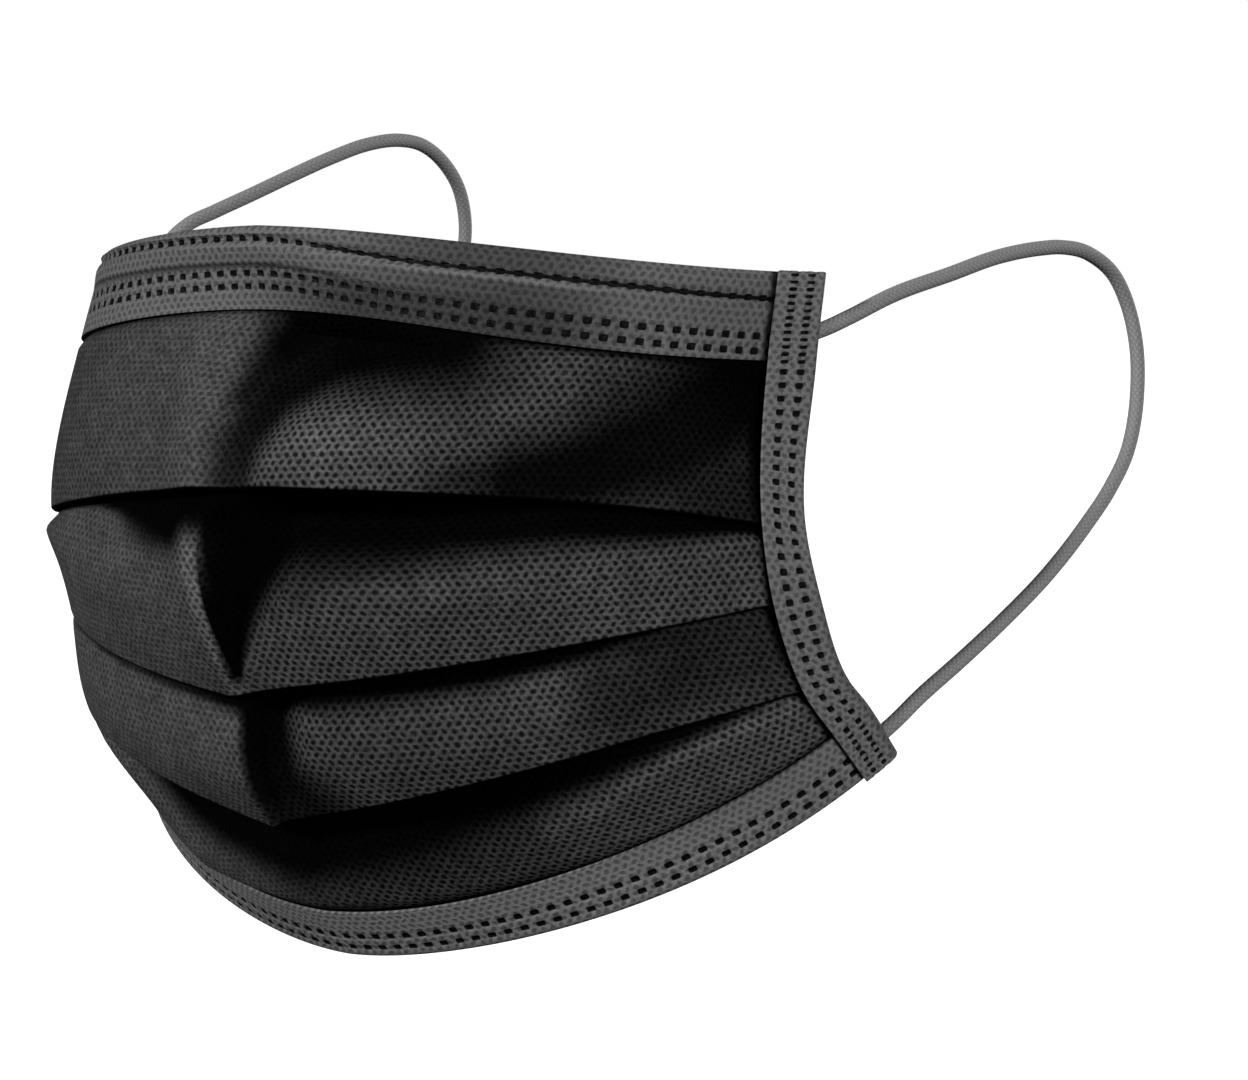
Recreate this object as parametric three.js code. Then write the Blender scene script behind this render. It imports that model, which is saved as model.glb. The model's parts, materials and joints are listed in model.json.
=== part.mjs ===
// Pleated disposable face mask with two ear loops, in the form that it has when worn.
// Millimetres, +Z up. The wearer looks along -Y and the wearer's left is +X.
// The origin is on the inner face of the top binding, where it sits on the bridge of the nose.
import * as THREE from 'three';

// --- Driving dimensions ---------------------------------------------------------------------

const HALF_WIDTH = 90;          // half the width of the flat mask, which every row keeps
const WALL = 1;                 // thickness of the cloth and of the bindings
const LAYER = 1.3;              // pitch of two layers that lie on each other
const TURN = LAYER / 2;         // radius of the middle of the cloth where it turns back on itself

// Rows that cross the mask from side to side. Each is the same on both halves, and each half is
// one Bezier curve from the centre line to the side edge.
// back and height: the centre point. side: the point on the side edge, on the wearer's left.
// heading: the way the row runs, in degrees from straight across towards the back of the head.
// climb: its slope in degrees. pull: how far the curve keeps that direction.
const ROWS = {
  topEdge:    { back: -4.1, height: 4.8, side: [59.7, 48.5, -1.6],
                centre: { heading: 1, climb: -1, pull: 32 }, end: { heading: 85, climb: -1, pull: 39 } },
  topHem:     { back: -2.5, height: -6.5, side: [62.3, 42.9, -13.7],
                centre: { heading: -2, climb: 0, pull: 27 }, end: { heading: 78, climb: -1, pull: 49 } },
  firstFold:  { back: -11.6, height: -31, side: [65.3, 36.5, -37.2],
                centre: { heading: -1, climb: 0.5, pull: 34 }, end: { heading: 83, climb: -11, pull: 32 } },
  secondFold: { back: -8.2, height: -59.9, side: [67.5, 36.9, -45.6],
                centre: { heading: -3, climb: 7, pull: 42.5 }, end: { heading: 77, climb: 7, pull: 16 } },
  thirdFold:  { back: 0.2, height: -78.9, side: [69.3, 41.1, -57.2],
                centre: { heading: -1, climb: 11, pull: 24 }, end: { heading: 69, climb: 12, pull: 44.5 } },
  bottomHem:  { back: 10, height: -92.2, side: [70.2, 44.8, -61.1],
                centre: { heading: 2, climb: 1, pull: 31.5 }, end: { heading: 68, climb: 37.5, pull: 22 } },
  bottomEdge: { back: 15.5, height: -99, side: [71.1, 50.1, -67.7],
                centre: { heading: 4, climb: -0.5, pull: 17 }, end: { heading: 65, climb: 37, pull: 37 } },
};

// Panels between two rows: under the top hem, then under each of the three folds.
// bulge: how far the cloth stands out at half height. ridge: how far the centre crease stands
// out there. lowerRidge: how far it stands out at the row below. hollow: the dent beside the
// crease. gape: how far a pleat opens behind the fold above.
const PANELS = [
  { bulge: 1.6, ridge: 1.4, lowerRidge: 0.6, hollow: 1.2, gape: 0 },
  { bulge: 1.6, ridge: 2.6, lowerRidge: 1, hollow: 1.8, gape: 3.2 },
  { bulge: 0.8, ridge: 1.6, lowerRidge: 0.8, hollow: 1.4, gape: 2 },
  { bulge: 0.6, ridge: 0.4, lowerRidge: 0, hollow: 0.4, gape: 3 },
];

const PLEAT = {
  tuckAtSide: 4.2,              // height of the folded layers above a fold, at the side bindings
  tuckAtCentre: 7,              // and on the centre line
  settleAtSide: 4.5,            // height over which a panel comes out from behind the fold above
  settleAtCentre: 15,
  // Distances from the centre line up to which the pleats are open, and past which they are shut.
  left: { openTo: 30, closedFrom: 76 },
  right: { openTo: 18, closedFrom: 54 },
  centreGape: 0.35,             // share of its gape that a pleat has on the centre line
  fullGapeAt: 22,               // distance from the centre line where it has the whole of it
};
// sharp and round: how wide a pinched crease and a round one are. The nose panel's crease is round,
// and the next one turns from round to pinched over this share of its height. peak: less than 1
// moves the highest point of a crease up its panel. The hollow lies beside the crease.
const CREASE = { sharp: 4.5, round: 7, pinchedFrom: 0.3, peak: 0.8, hollowAt: 11, hollowWidth: 6 };

const HEM_STEP = 4;                         // height over which the cloth dips behind a binding
const TOP_BINDING = { inner: 10 };          // how far it reaches down the inner face
const BOTTOM_BINDING = { inner: 6 };        // how far it reaches up the inner face
const BODY_EDGE = { belowTop: 7.2, aboveBottom: 1.4 };
const CLOTH_END = 87.4;                     // where the cloth and its bindings stop, under the side ones
const NOSE_WIRE = { from: 2.9, to: 6.5, thickness: 1, halfLength: 50 };
const SIDE_BINDING = { widthAtTop: 10, widthAtBottom: 6.5, slack: 0.15 };
const CORD = { diameter: 2.2, sides: 8, steps: 38 };

// Where the solids have their sections and, in each section, their points.
const HALF_STATIONS = [0, 2.5, 6, 10, 15, 21, 28, 36, 44, 52, 60, 68, 75, 81];
const NOSE_PANEL_PARTS = [0, 0.16, 0.36, 0.56, 0.78, 1];
const PLEATED_PANEL_PARTS = [0.15, 0.3, 0.5, 0.75, 1];
const SIDE_SECTIONS = [                     // a row, and parts of the way from it to the next one
  { row: 0, parts: [0, 0.5] },
  { row: 1, parts: [0, 0.33, 0.67] },
  { row: 2, parts: [0, 0.5] },
  { row: 3, parts: [0, 0.5] },
  { row: 4, parts: [0, 0.5] },
  { row: 5, parts: [0, 0.5, 1] },
];
const FOLD_TURN = [60, 120];                // degrees, the points of a turn between its two ends
const EDGE_TURN = [45, 90, 135];
const SIDE_TURN = [36, 72, 108, 144];

// Routes of the ear loops, from the socket under the top corner to the one over the bottom corner.
const LEFT_LOOP_ROUTE = [
  [61.4, 45.9, -9.2], [61.3, 51, -7.9], [61.2, 63, -4.5], [61, 77, -1.7], [60.9, 90, 0.9],
  [61, 100.7, 2.1], [61, 106, 2.3], [61.3, 113.5, 1.3], [62, 119.3, -1.9], [62.8, 122.4, -7.2],
  [63.7, 122.9, -12], [64.9, 121.4, -20.5], [66, 117.2, -28.2], [66.8, 111.2, -33.6],
  [67.5, 103.2, -39], [68.3, 92.5, -45.2], [69, 78.7, -51.8], [69.5, 67.7, -56.5], [70, 57, -60.8],
  [70.3, 49.6, -64.2],
];
const RIGHT_LOOP_ROUTE = [
  [-61.4, 46.1, -9.2], [-62.7, 47.4, -7.4], [-64.6, 46.6, -4.2], [-65.6, 45.2, -0.4], [-65.5, 45.9, 3],
  [-64.4, 48.7, 5.8], [-62.9, 53.7, 8.1], [-61.4, 60.1, 10.7], [-60.1, 68, 13.8], [-59.2, 76.4, 16.8],
  [-58.5, 84.8, 19.2], [-58.2, 92, 20], [-58.4, 98, 19.3], [-58.9, 104, 16.4], [-59.5, 108.3, 12.4],
  [-60.4, 111, 6.6], [-61.6, 111.2, -1], [-63.2, 108.9, -10.5], [-64.8, 104, -20.5],
  [-66.3, 96.3, -30.5], [-67.7, 85.5, -40.5], [-68.9, 72.5, -49.5], [-69.8, 59.5, -57.6],
  [-70.3, 49.6, -64.2],
];

const COLOURS = {
  cloth: { color: 0x1c1c1e, roughness: 0.85, metalness: 0 },
  binding: { color: 0x48484b, roughness: 0.75, metalness: 0 },
  wire: { color: 0x9a9da1, roughness: 0.4, metalness: 0.8 },
  elastic: { color: 0x5f5f62, roughness: 0.9, metalness: 0 },
};

// --- Small helpers --------------------------------------------------------------------------

const radians = THREE.MathUtils.degToRad;
const mix = THREE.MathUtils.lerp;
const smooth = (value) => THREE.MathUtils.smoothstep(value, 0, 1);
const vector = (xyz) => new THREE.Vector3(...xyz);

function direction({ heading, climb }) {
  const flat = Math.cos(radians(climb));
  const turn = radians(heading);
  return new THREE.Vector3(flat * Math.cos(turn), flat * Math.sin(turn), Math.sin(radians(climb)));
}

// A list of numbers from -1 to 1 that is the same on both sides of 0.
function bothSides(half) {
  return [...half.slice(1).reverse().map((value) => -value), ...half];
}

// --- The rows and the frame that goes with each point of the mask ---------------------------

const ROW_NAMES = Object.keys(ROWS);
const rowCurves = ROW_NAMES.map((name) => {
  const { back, height, side, centre, end } = ROWS[name];
  const start = new THREE.Vector3(0, back, height);
  const finish = vector(side);
  return new THREE.CubicBezierCurve3(
    start,
    start.clone().addScaledVector(direction(centre), centre.pull),
    finish.clone().addScaledVector(direction(end), -end.pull),
    finish,
  );
});

// Station: the distance along a row from the centre line, positive on the wearer's left.
function rowPoint(row, station) {
  const point = rowCurves[row].getPointAt(Math.abs(station) / HALF_WIDTH);
  point.x *= Math.sign(station);
  return point;
}

function rowDirection(row, station) {
  const tangent = rowCurves[row].getTangentAt(Math.abs(station) / HALF_WIDTH);
  if (station < 0) tangent.set(tangent.x, -tangent.y, -tangent.z);
  if (station === 0) tangent.set(1, 0, 0);
  return tangent;
}

// The smooth line down the mask at one station, through all its rows.
const downLines = new Map();
function downLine(station) {
  if (!downLines.has(station)) {
    const points = ROW_NAMES.map((name, row) => rowPoint(row, station));
    downLines.set(station, new THREE.CatmullRomCurve3(points, false, 'chordal'));
  }
  return downLines.get(station);
}

// Frame at part of the way from one row down to the next one.
function frameAt(row, station, part) {
  const line = downLine(station);
  const along = (row + part) / (ROW_NAMES.length - 1);
  const down = line.getTangent(along);
  const across = rowDirection(row, station).lerp(rowDirection(row + 1, station), part).normalize();
  return {
    point: line.getPoint(along),
    down,
    across,
    normal: down.clone().cross(across).normalize(),
    length: line.points[row].distanceTo(line.points[row + 1]),
  };
}

// --- The shape of the cloth -----------------------------------------------------------------

// 1 where the pleats are open and 0 where they are shut.
function openness(station) {
  const { openTo, closedFrom } = station < 0 ? PLEAT.right : PLEAT.left;
  return 1 - smooth((Math.abs(station) - openTo) / (closedFrom - openTo));
}

function gapeShape(station) {
  const rise = smooth(Math.abs(station) / PLEAT.fullGapeAt);
  return mix(PLEAT.centreGape, 1, rise) * openness(station);
}

const tuck = (station) => mix(PLEAT.tuckAtSide, PLEAT.tuckAtCentre, openness(station));
const settle = (station) => mix(PLEAT.settleAtSide, PLEAT.settleAtCentre, openness(station));
const gap = (panel, station) => 2 * LAYER + PANELS[panel].gape * gapeShape(station);

// How far the centre crease stands out, and the hollow beside it.
function crease(panel, station, part) {
  const { ridge, lowerRidge, hollow } = PANELS[panel];
  const upperRidge = panel === 0 ? 0 : PANELS[panel - 1].lowerRidge;
  const wave = Math.sin(Math.PI * part ** CREASE.peak);
  const height = mix(upperRidge, lowerRidge, part) + ridge * wave;
  const away = Math.abs(station);
  const round = Math.exp(-((away / CREASE.round) ** 2));
  const pinched = Math.exp(-away / CREASE.sharp);
  const sharpness = [0, smooth(part / CREASE.pinchedFrom), 1, 1][panel];
  const dent = Math.exp(-(((away - CREASE.hollowAt) / CREASE.hollowWidth) ** 2));
  return height * mix(round, pinched, sharpness) - hollow * wave * dent;
}

// How far the middle of the cloth lies behind the straight line between its two rows.
function recess(panel, station, part, length) {
  const fromTop = part * length;
  const fromFoot = (1 - part) * length;
  const wave = Math.sin(Math.PI * part);
  let depth = -PANELS[panel].bulge * wave * openness(station) - crease(panel, station, part);
  if (panel === 0) depth += LAYER * (1 - smooth(fromTop / HEM_STEP));
  else depth += gap(panel, station) * (1 - smooth(fromTop / settle(station)));
  if (panel === PANELS.length - 1) depth += LAYER * smooth(1 - fromFoot / HEM_STEP);
  return depth;
}

// A point of the cloth: inward is how far it lies behind the panel that shows.
function clothPoint(panel, station, part, inward = 0, drop = 0) {
  const frame = frameAt(panel + 1, station, part);
  const depth = recess(panel, station, part, frame.length) + inward;
  return {
    point: frame.point.addScaledVector(frame.normal, -depth).addScaledVector(frame.down, drop),
    across: frame.across,
  };
}

// The part of a panel where the cloth begins to turn back, so that the fold's edge is on its row.
function turnPart(panel, station) {
  if (panel === PANELS.length - 1) return 1;
  return 1 - (TURN + WALL / 2) / frameAt(panel + 1, station, 1).length;
}

// The folded layers behind a fold: down the fold's turn, up its back, over the inner turn and
// down to the fold's level again.
function foldedLayers(fold, station) {
  const panel = fold - 1;
  const { length } = frameAt(panel + 1, station, 1);
  const foot = turnPart(panel, station);
  const tuckPart = 1 - tuck(station) / length;
  const spare = (gap(fold, station) - 2 * LAYER) / 2;
  const points = [];
  for (const angle of FOLD_TURN) {
    const turn = radians(angle);
    points.push(clothPoint(panel, station, foot, TURN * (1 - Math.cos(turn)), TURN * Math.sin(turn)));
  }
  points.push(clothPoint(panel, station, foot, LAYER));
  points.push(clothPoint(panel, station, tuckPart, LAYER + spare));
  for (const angle of FOLD_TURN) {
    const turn = radians(angle);
    const inward = LAYER + spare + TURN * (1 - Math.cos(turn));
    points.push(clothPoint(panel, station, tuckPart, inward, -TURN * Math.sin(turn)));
  }
  points.push(clothPoint(panel, station, tuckPart, 2 * LAYER + spare));
  points.push(clothPoint(panel, station, foot, gap(fold, station)));
  return points;
}

// The middle of the cloth at one station, from its top edge to its bottom edge.
function clothSection(station) {
  const points = [];
  const topBand = frameAt(0, station, 0);
  const start = frameAt(0, station, BODY_EDGE.belowTop / topBand.length);
  points.push({ point: start.point.addScaledVector(start.normal, -LAYER), across: start.across });
  for (const part of NOSE_PANEL_PARTS) points.push(clothPoint(0, station, part * turnPart(0, station)));
  for (const fold of [1, 2, 3]) {
    points.push(...foldedLayers(fold, station));
    const foot = turnPart(fold, station);
    for (const part of PLEATED_PANEL_PARTS) points.push(clothPoint(fold, station, part * foot));
  }
  const bottomBand = frameAt(5, station, 0);
  const finish = frameAt(5, station, 1 - BODY_EDGE.aboveBottom / bottomBand.length);
  points.push({ point: finish.point.addScaledVector(finish.normal, -LAYER), across: finish.across });
  return points;
}

// --- Solids ---------------------------------------------------------------------------------

// A closed geometry from a list of lines of points: each line goes round one section.
function loftSections(sections) {
  const around = sections[0].length;
  const positions = sections.flat().flatMap((point) => point.toArray());
  const index = [];
  for (let i = 0; i + 1 < sections.length; i += 1) {
    for (let j = 0; j < around; j += 1) {
      const a = i * around + j;
      const b = i * around + ((j + 1) % around);
      index.push(a, b, a + around, b, b + around, a + around);
    }
  }
  const geometry = new THREE.BufferGeometry();
  geometry.setAttribute('position', new THREE.Float32BufferAttribute(positions, 3));
  // An end is a folded strip: the outer side runs one way and the inner side runs back.
  const last = (sections.length - 1) * around;
  for (let j = 0; j + 1 < around / 2; j += 1) {
    const k = around - 1 - j;
    index.push(j, k, j + 1, k, k - 1, j + 1);
    index.push(last + j, last + j + 1, last + k, last + k, last + j + 1, last + k - 1);
  }
  geometry.setIndex(index);
  return facingOut(geometry);
}

function facingOut(geometry) {
  const position = geometry.getAttribute('position');
  const index = geometry.getIndex().array;
  const corner = (k) => new THREE.Vector3().fromBufferAttribute(position, index[k]);
  let volume = 0;
  for (let k = 0; k < index.length; k += 3) volume += corner(k).dot(corner(k + 1).cross(corner(k + 2)));
  if (volume < 0) {
    for (let k = 0; k < index.length; k += 3) [index[k + 1], index[k + 2]] = [index[k + 2], index[k + 1]];
  }
  geometry.computeVertexNormals();
  return geometry;
}

// A wall of even thickness on both sides of a line of points. across is square to the section.
function wallSection(line, thickness = WALL) {
  const offsets = line.map(({ across }, i) => {
    const before = line[Math.max(i - 1, 0)].point;
    const after = line[Math.min(i + 1, line.length - 1)].point;
    return after.clone().sub(before).cross(across).setLength(thickness / 2);
  });
  const outer = line.map(({ point }, i) => point.clone().add(offsets[i]));
  const inner = line.map(({ point }, i) => point.clone().sub(offsets[i]));
  return [...outer, ...inner.reverse()];
}

function piece(name, geometry, { color, roughness, metalness }) {
  const material = new THREE.MeshStandardMaterial({ color, roughness, metalness });
  const mesh = new THREE.Mesh(geometry, material);
  mesh.name = name;
  return mesh;
}

// --- Pieces ---------------------------------------------------------------------------------

const clothStations = bothSides([...HALF_STATIONS, CLOTH_END]);

function maskBody() {
  return loftSections(clothStations.map((station) => wallSection(clothSection(station))));
}

// A binding folded over the top or bottom edge: inner face, turn at the edge, outer face.
// reach: from the edge along the inner face. hem: the row where its outer face ends.
function edgeBinding(edgeRow, hemRow, reach) {
  const upper = Math.min(edgeRow, hemRow);
  const fromEdge = (part) => (edgeRow < hemRow ? part : 1 - part);
  const sections = clothStations.map((station) => {
    const { length } = frameAt(upper, station, 0);
    const at = (distance, inward) => {
      const frame = frameAt(upper, station, fromEdge(distance / length));
      const point = frame.point.addScaledVector(frame.normal, -inward);
      return { point, across: frame.across };
    };
    const line = [at(reach, 2 * LAYER), at((reach + LAYER) / 2, 2 * LAYER), at(LAYER, 2 * LAYER)];
    for (const angle of EDGE_TURN) {
      const turn = radians(angle);
      line.push(at(LAYER - LAYER * Math.sin(turn), LAYER + LAYER * Math.cos(turn)));
    }
    line.push(at(LAYER, 0), at((length + LAYER) / 2, 0), at(length, 0));
    return wallSection(line);
  });
  return loftSections(sections);
}

// The soft wire is a flat strip that lies inside the top binding, above the cloth's upper edge.
function noseWire() {
  const { from, to, thickness, halfLength } = NOSE_WIRE;
  const inside = HALF_STATIONS.filter((station) => station < halfLength);
  const stations = bothSides([...inside, halfLength]);
  return loftSections(stations.map((station) => {
    const { length } = frameAt(0, station, 0);
    const line = [from, (from + to) / 2, to].map((distance) => {
      const frame = frameAt(0, station, distance / length);
      return { point: frame.point.addScaledVector(frame.normal, -LAYER), across: frame.across };
    });
    return wallSection(line, thickness);
  }));
}

// A binding folded round the side edge, over the cloth and over the ends of the other bindings.
function sideBinding(side) {
  const outerFace = LAYER + SIDE_BINDING.slack;
  const innerFace = -3 * LAYER - SIDE_BINDING.slack;
  const radius = (outerFace - innerFace) / 2;
  const middle = (outerFace + innerFace) / 2;
  const turnAt = HALF_WIDTH - WALL / 2 - radius;
  const section = (row, part) => {
    const down = (row + part) / (ROW_NAMES.length - 1);
    const innerEdge = HALF_WIDTH - mix(SIDE_BINDING.widthAtTop, SIDE_BINDING.widthAtBottom, down);
    const halfway = (innerEdge + turnAt) / 2;
    const profile = [[innerEdge, outerFace], [halfway, outerFace], [turnAt, outerFace]];
    for (const angle of SIDE_TURN) {
      const turn = radians(angle);
      profile.push([turnAt + radius * Math.sin(turn), middle + radius * Math.cos(turn)]);
    }
    profile.push([turnAt, innerFace], [halfway, innerFace], [innerEdge, innerFace]);
    return wallSection(profile.map(([station, outward]) => {
      const frame = frameAt(row, side * station, part);
      const point = frame.point.addScaledVector(frame.normal, outward);
      return { point, across: frame.normal.clone().cross(frame.across) };
    }));
  };
  return loftSections(SIDE_SECTIONS.flatMap(({ row, parts }) => parts.map((part) => section(row, part))));
}

function earLoop(route) {
  const section = new THREE.Shape();
  for (let k = 0; k < CORD.sides; k += 1) {
    const angle = (2 * Math.PI * k) / CORD.sides;
    const x = (CORD.diameter / 2) * Math.cos(angle);
    const y = (CORD.diameter / 2) * Math.sin(angle);
    if (k === 0) section.moveTo(x, y);
    else section.lineTo(x, y);
  }
  section.closePath();
  const extrudePath = new THREE.CatmullRomCurve3(route.map(vector), false, 'centripetal');
  return new THREE.ExtrudeGeometry(section, { steps: CORD.steps, extrudePath, bevelEnabled: false });
}

// --- The mask -------------------------------------------------------------------------------

const mask = new THREE.Group();
mask.add(
  piece('mask_body', maskBody(), COLOURS.cloth),
  piece('top_binding', edgeBinding(0, 1, TOP_BINDING.inner), COLOURS.binding),
  piece('bottom_binding', edgeBinding(6, 5, BOTTOM_BINDING.inner), COLOURS.binding),
  piece('side_binding_left', sideBinding(1), COLOURS.binding),
  piece('side_binding_right', sideBinding(-1), COLOURS.binding),
  piece('nose_wire', noseWire(), COLOURS.wire),
  piece('ear_loop_left', earLoop(LEFT_LOOP_ROUTE), COLOURS.elastic),
  piece('ear_loop_right', earLoop(RIGHT_LOOP_ROUTE), COLOURS.elastic),
);

export default mask;
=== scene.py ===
# %% [markdown]
# # A pleated face mask
# The mask is one rectangle of soft cloth with three pleats. Narrow strips of another cloth are
# folded over its four edges and welded down, a soft wire lies in the top strip, and an elastic
# loop comes out of each side. It has the form that it takes on a face: bent round the cheeks,
# with its pleats drawn open in the middle and shut at the sides.
#
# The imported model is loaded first. It fixes every place and size, so nothing is fitted later.

# %% Load the frame
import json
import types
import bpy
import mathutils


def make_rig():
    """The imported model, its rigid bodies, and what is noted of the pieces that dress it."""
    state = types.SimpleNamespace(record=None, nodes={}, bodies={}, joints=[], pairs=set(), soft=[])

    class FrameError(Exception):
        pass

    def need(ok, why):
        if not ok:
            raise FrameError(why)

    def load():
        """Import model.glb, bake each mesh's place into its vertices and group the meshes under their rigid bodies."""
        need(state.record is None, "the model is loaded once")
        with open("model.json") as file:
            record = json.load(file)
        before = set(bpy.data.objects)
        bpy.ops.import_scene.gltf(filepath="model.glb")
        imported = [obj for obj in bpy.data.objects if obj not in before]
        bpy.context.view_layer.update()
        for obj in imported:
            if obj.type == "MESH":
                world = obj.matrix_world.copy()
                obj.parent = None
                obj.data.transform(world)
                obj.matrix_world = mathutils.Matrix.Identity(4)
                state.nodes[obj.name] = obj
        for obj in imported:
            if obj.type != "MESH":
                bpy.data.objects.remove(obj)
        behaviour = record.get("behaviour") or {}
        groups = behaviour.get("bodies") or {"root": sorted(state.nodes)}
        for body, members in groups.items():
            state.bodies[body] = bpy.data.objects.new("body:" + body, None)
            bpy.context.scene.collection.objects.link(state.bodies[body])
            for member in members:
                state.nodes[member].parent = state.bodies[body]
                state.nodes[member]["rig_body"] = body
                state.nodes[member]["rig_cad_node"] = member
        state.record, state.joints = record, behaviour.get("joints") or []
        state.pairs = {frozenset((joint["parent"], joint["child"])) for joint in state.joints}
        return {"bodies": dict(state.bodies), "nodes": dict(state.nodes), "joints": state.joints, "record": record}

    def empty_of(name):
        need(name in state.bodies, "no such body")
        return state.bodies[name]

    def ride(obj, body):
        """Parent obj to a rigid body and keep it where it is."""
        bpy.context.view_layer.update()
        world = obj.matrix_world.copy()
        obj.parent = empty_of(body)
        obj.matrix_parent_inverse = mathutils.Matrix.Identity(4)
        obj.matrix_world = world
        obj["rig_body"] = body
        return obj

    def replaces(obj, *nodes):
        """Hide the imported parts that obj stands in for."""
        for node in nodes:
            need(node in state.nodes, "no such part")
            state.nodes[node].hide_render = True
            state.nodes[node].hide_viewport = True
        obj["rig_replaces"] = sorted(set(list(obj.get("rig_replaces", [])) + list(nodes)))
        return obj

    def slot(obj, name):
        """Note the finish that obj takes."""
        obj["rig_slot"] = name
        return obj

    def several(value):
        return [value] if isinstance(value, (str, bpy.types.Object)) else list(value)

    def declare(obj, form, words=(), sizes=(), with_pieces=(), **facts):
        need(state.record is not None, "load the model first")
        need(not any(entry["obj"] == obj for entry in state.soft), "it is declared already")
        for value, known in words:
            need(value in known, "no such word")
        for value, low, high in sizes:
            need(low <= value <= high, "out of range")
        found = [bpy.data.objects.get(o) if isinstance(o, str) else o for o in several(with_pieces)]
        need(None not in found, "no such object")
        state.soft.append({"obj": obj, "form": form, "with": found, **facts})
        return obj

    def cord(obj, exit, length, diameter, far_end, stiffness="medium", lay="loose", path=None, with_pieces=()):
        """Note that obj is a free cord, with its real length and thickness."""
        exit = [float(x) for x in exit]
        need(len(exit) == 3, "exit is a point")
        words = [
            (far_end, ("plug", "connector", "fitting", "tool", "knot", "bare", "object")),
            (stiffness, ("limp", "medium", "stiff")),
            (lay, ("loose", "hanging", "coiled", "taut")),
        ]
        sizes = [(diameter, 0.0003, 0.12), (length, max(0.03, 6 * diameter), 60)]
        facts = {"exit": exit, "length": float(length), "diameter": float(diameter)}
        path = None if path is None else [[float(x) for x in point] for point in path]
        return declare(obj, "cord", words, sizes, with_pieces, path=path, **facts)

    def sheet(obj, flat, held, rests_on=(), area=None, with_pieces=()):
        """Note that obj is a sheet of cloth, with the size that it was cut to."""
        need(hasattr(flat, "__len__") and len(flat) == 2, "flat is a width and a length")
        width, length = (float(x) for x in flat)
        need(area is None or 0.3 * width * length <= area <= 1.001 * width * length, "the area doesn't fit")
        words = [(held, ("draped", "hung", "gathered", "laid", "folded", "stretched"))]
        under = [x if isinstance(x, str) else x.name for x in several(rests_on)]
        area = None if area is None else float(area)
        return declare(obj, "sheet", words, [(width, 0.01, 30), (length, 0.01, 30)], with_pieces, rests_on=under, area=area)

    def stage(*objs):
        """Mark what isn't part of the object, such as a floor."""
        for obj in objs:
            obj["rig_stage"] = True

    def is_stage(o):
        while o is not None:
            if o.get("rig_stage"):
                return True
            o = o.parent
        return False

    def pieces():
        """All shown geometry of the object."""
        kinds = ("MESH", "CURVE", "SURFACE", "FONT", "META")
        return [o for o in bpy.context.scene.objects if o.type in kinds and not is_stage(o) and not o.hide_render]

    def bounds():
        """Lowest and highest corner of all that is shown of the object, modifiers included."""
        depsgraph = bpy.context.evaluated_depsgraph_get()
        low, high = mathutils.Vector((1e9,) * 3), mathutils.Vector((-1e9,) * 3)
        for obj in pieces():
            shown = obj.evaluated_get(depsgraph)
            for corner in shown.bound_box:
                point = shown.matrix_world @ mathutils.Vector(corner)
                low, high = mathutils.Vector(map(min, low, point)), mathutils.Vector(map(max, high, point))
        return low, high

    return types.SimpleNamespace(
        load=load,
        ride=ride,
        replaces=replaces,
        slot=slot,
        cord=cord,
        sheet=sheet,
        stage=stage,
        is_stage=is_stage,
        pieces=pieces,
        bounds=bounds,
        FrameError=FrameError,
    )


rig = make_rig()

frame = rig.load()
cad_low, cad_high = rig.bounds()

import json
import math

import bpy
import numpy as np
from mathutils import Vector

bpy.ops.object.select_all(action="DESELECT")
MM = 0.001
print("nodes:", ", ".join(sorted(frame["nodes"])))
print("size in mm:", [round(side / MM, 1) for side in cad_high - cad_low])

# %% [markdown]
# ## The camera
# A long lens from the wearer's front left shows the nose, the pleats and one whole side. It looks
# down very slightly. The aim is given from the origin, which is the place on the bridge of the
# nose where the mask sits.

# %% Camera
AZIMUTH, ELEVATION = 38.7, 3.5
DISTANCE = 0.617
LENS = 128.5
AIM = Vector((0.0416, 0.0261, -0.0384))


def bearing(azimuth, elevation):
    """A direction from the mask: azimuth 0 is in front of the wearer and 90 on the left."""
    turn, height = math.radians(azimuth), math.radians(elevation)
    flat = math.cos(height)
    return Vector((math.sin(turn) * flat, -math.cos(turn) * flat, math.sin(height)))


away = bearing(AZIMUTH, ELEVATION)
camera_data = bpy.data.cameras.new("camera")
camera_data.lens = LENS
camera = bpy.data.objects.new("camera", camera_data)
camera.location = AIM + away * DISTANCE
camera.rotation_euler = (-away).to_track_quat("-Z", "Y").to_euler()
bpy.context.scene.collection.objects.link(camera)
bpy.context.scene.camera = camera
print("camera at", [round(value, 4) for value in camera.location])

# %% [markdown]
# ## Building a surface from points
# Cloth is drawn as a grid of points: one line of points across the sheet at each place down it.
# A small function makes such a grid into a mesh and stores where each point lies on the flat
# cloth, in millimetres, as a UV map. Patterns that are pressed into the cloth then follow its
# folds. A tube is the same grid, closed round: its flat form has one more column than its mesh.

# %% Grid meshes
def grid_mesh(name, points, flat):
    """points: rows x columns x 3 and flat: rows x columns x 2, in mm. Returns a linked object."""
    rows, columns = points.shape[:2]
    i, j = np.meshgrid(np.arange(rows - 1), np.arange(flat.shape[1] - 1), indexing="ij")
    i, j = i.ravel(), j.ravel()
    corners = [(i, j), (i + 1, j), (i + 1, j + 1), (i, j + 1)]
    faces = np.stack([down * columns + across % columns for down, across in corners], axis=1)
    places = np.stack([flat[down, across] for down, across in corners], axis=1)
    mesh = bpy.data.meshes.new(name)
    mesh.from_pydata((points.reshape(-1, 3) * MM).tolist(), [], faces.tolist())
    mesh.uv_layers.new(name="Flat").uv.foreach_set("vector", places.astype(np.float32).ravel())
    piece = bpy.data.objects.new(name, mesh)
    bpy.context.scene.collection.objects.link(piece)
    return piece


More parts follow.
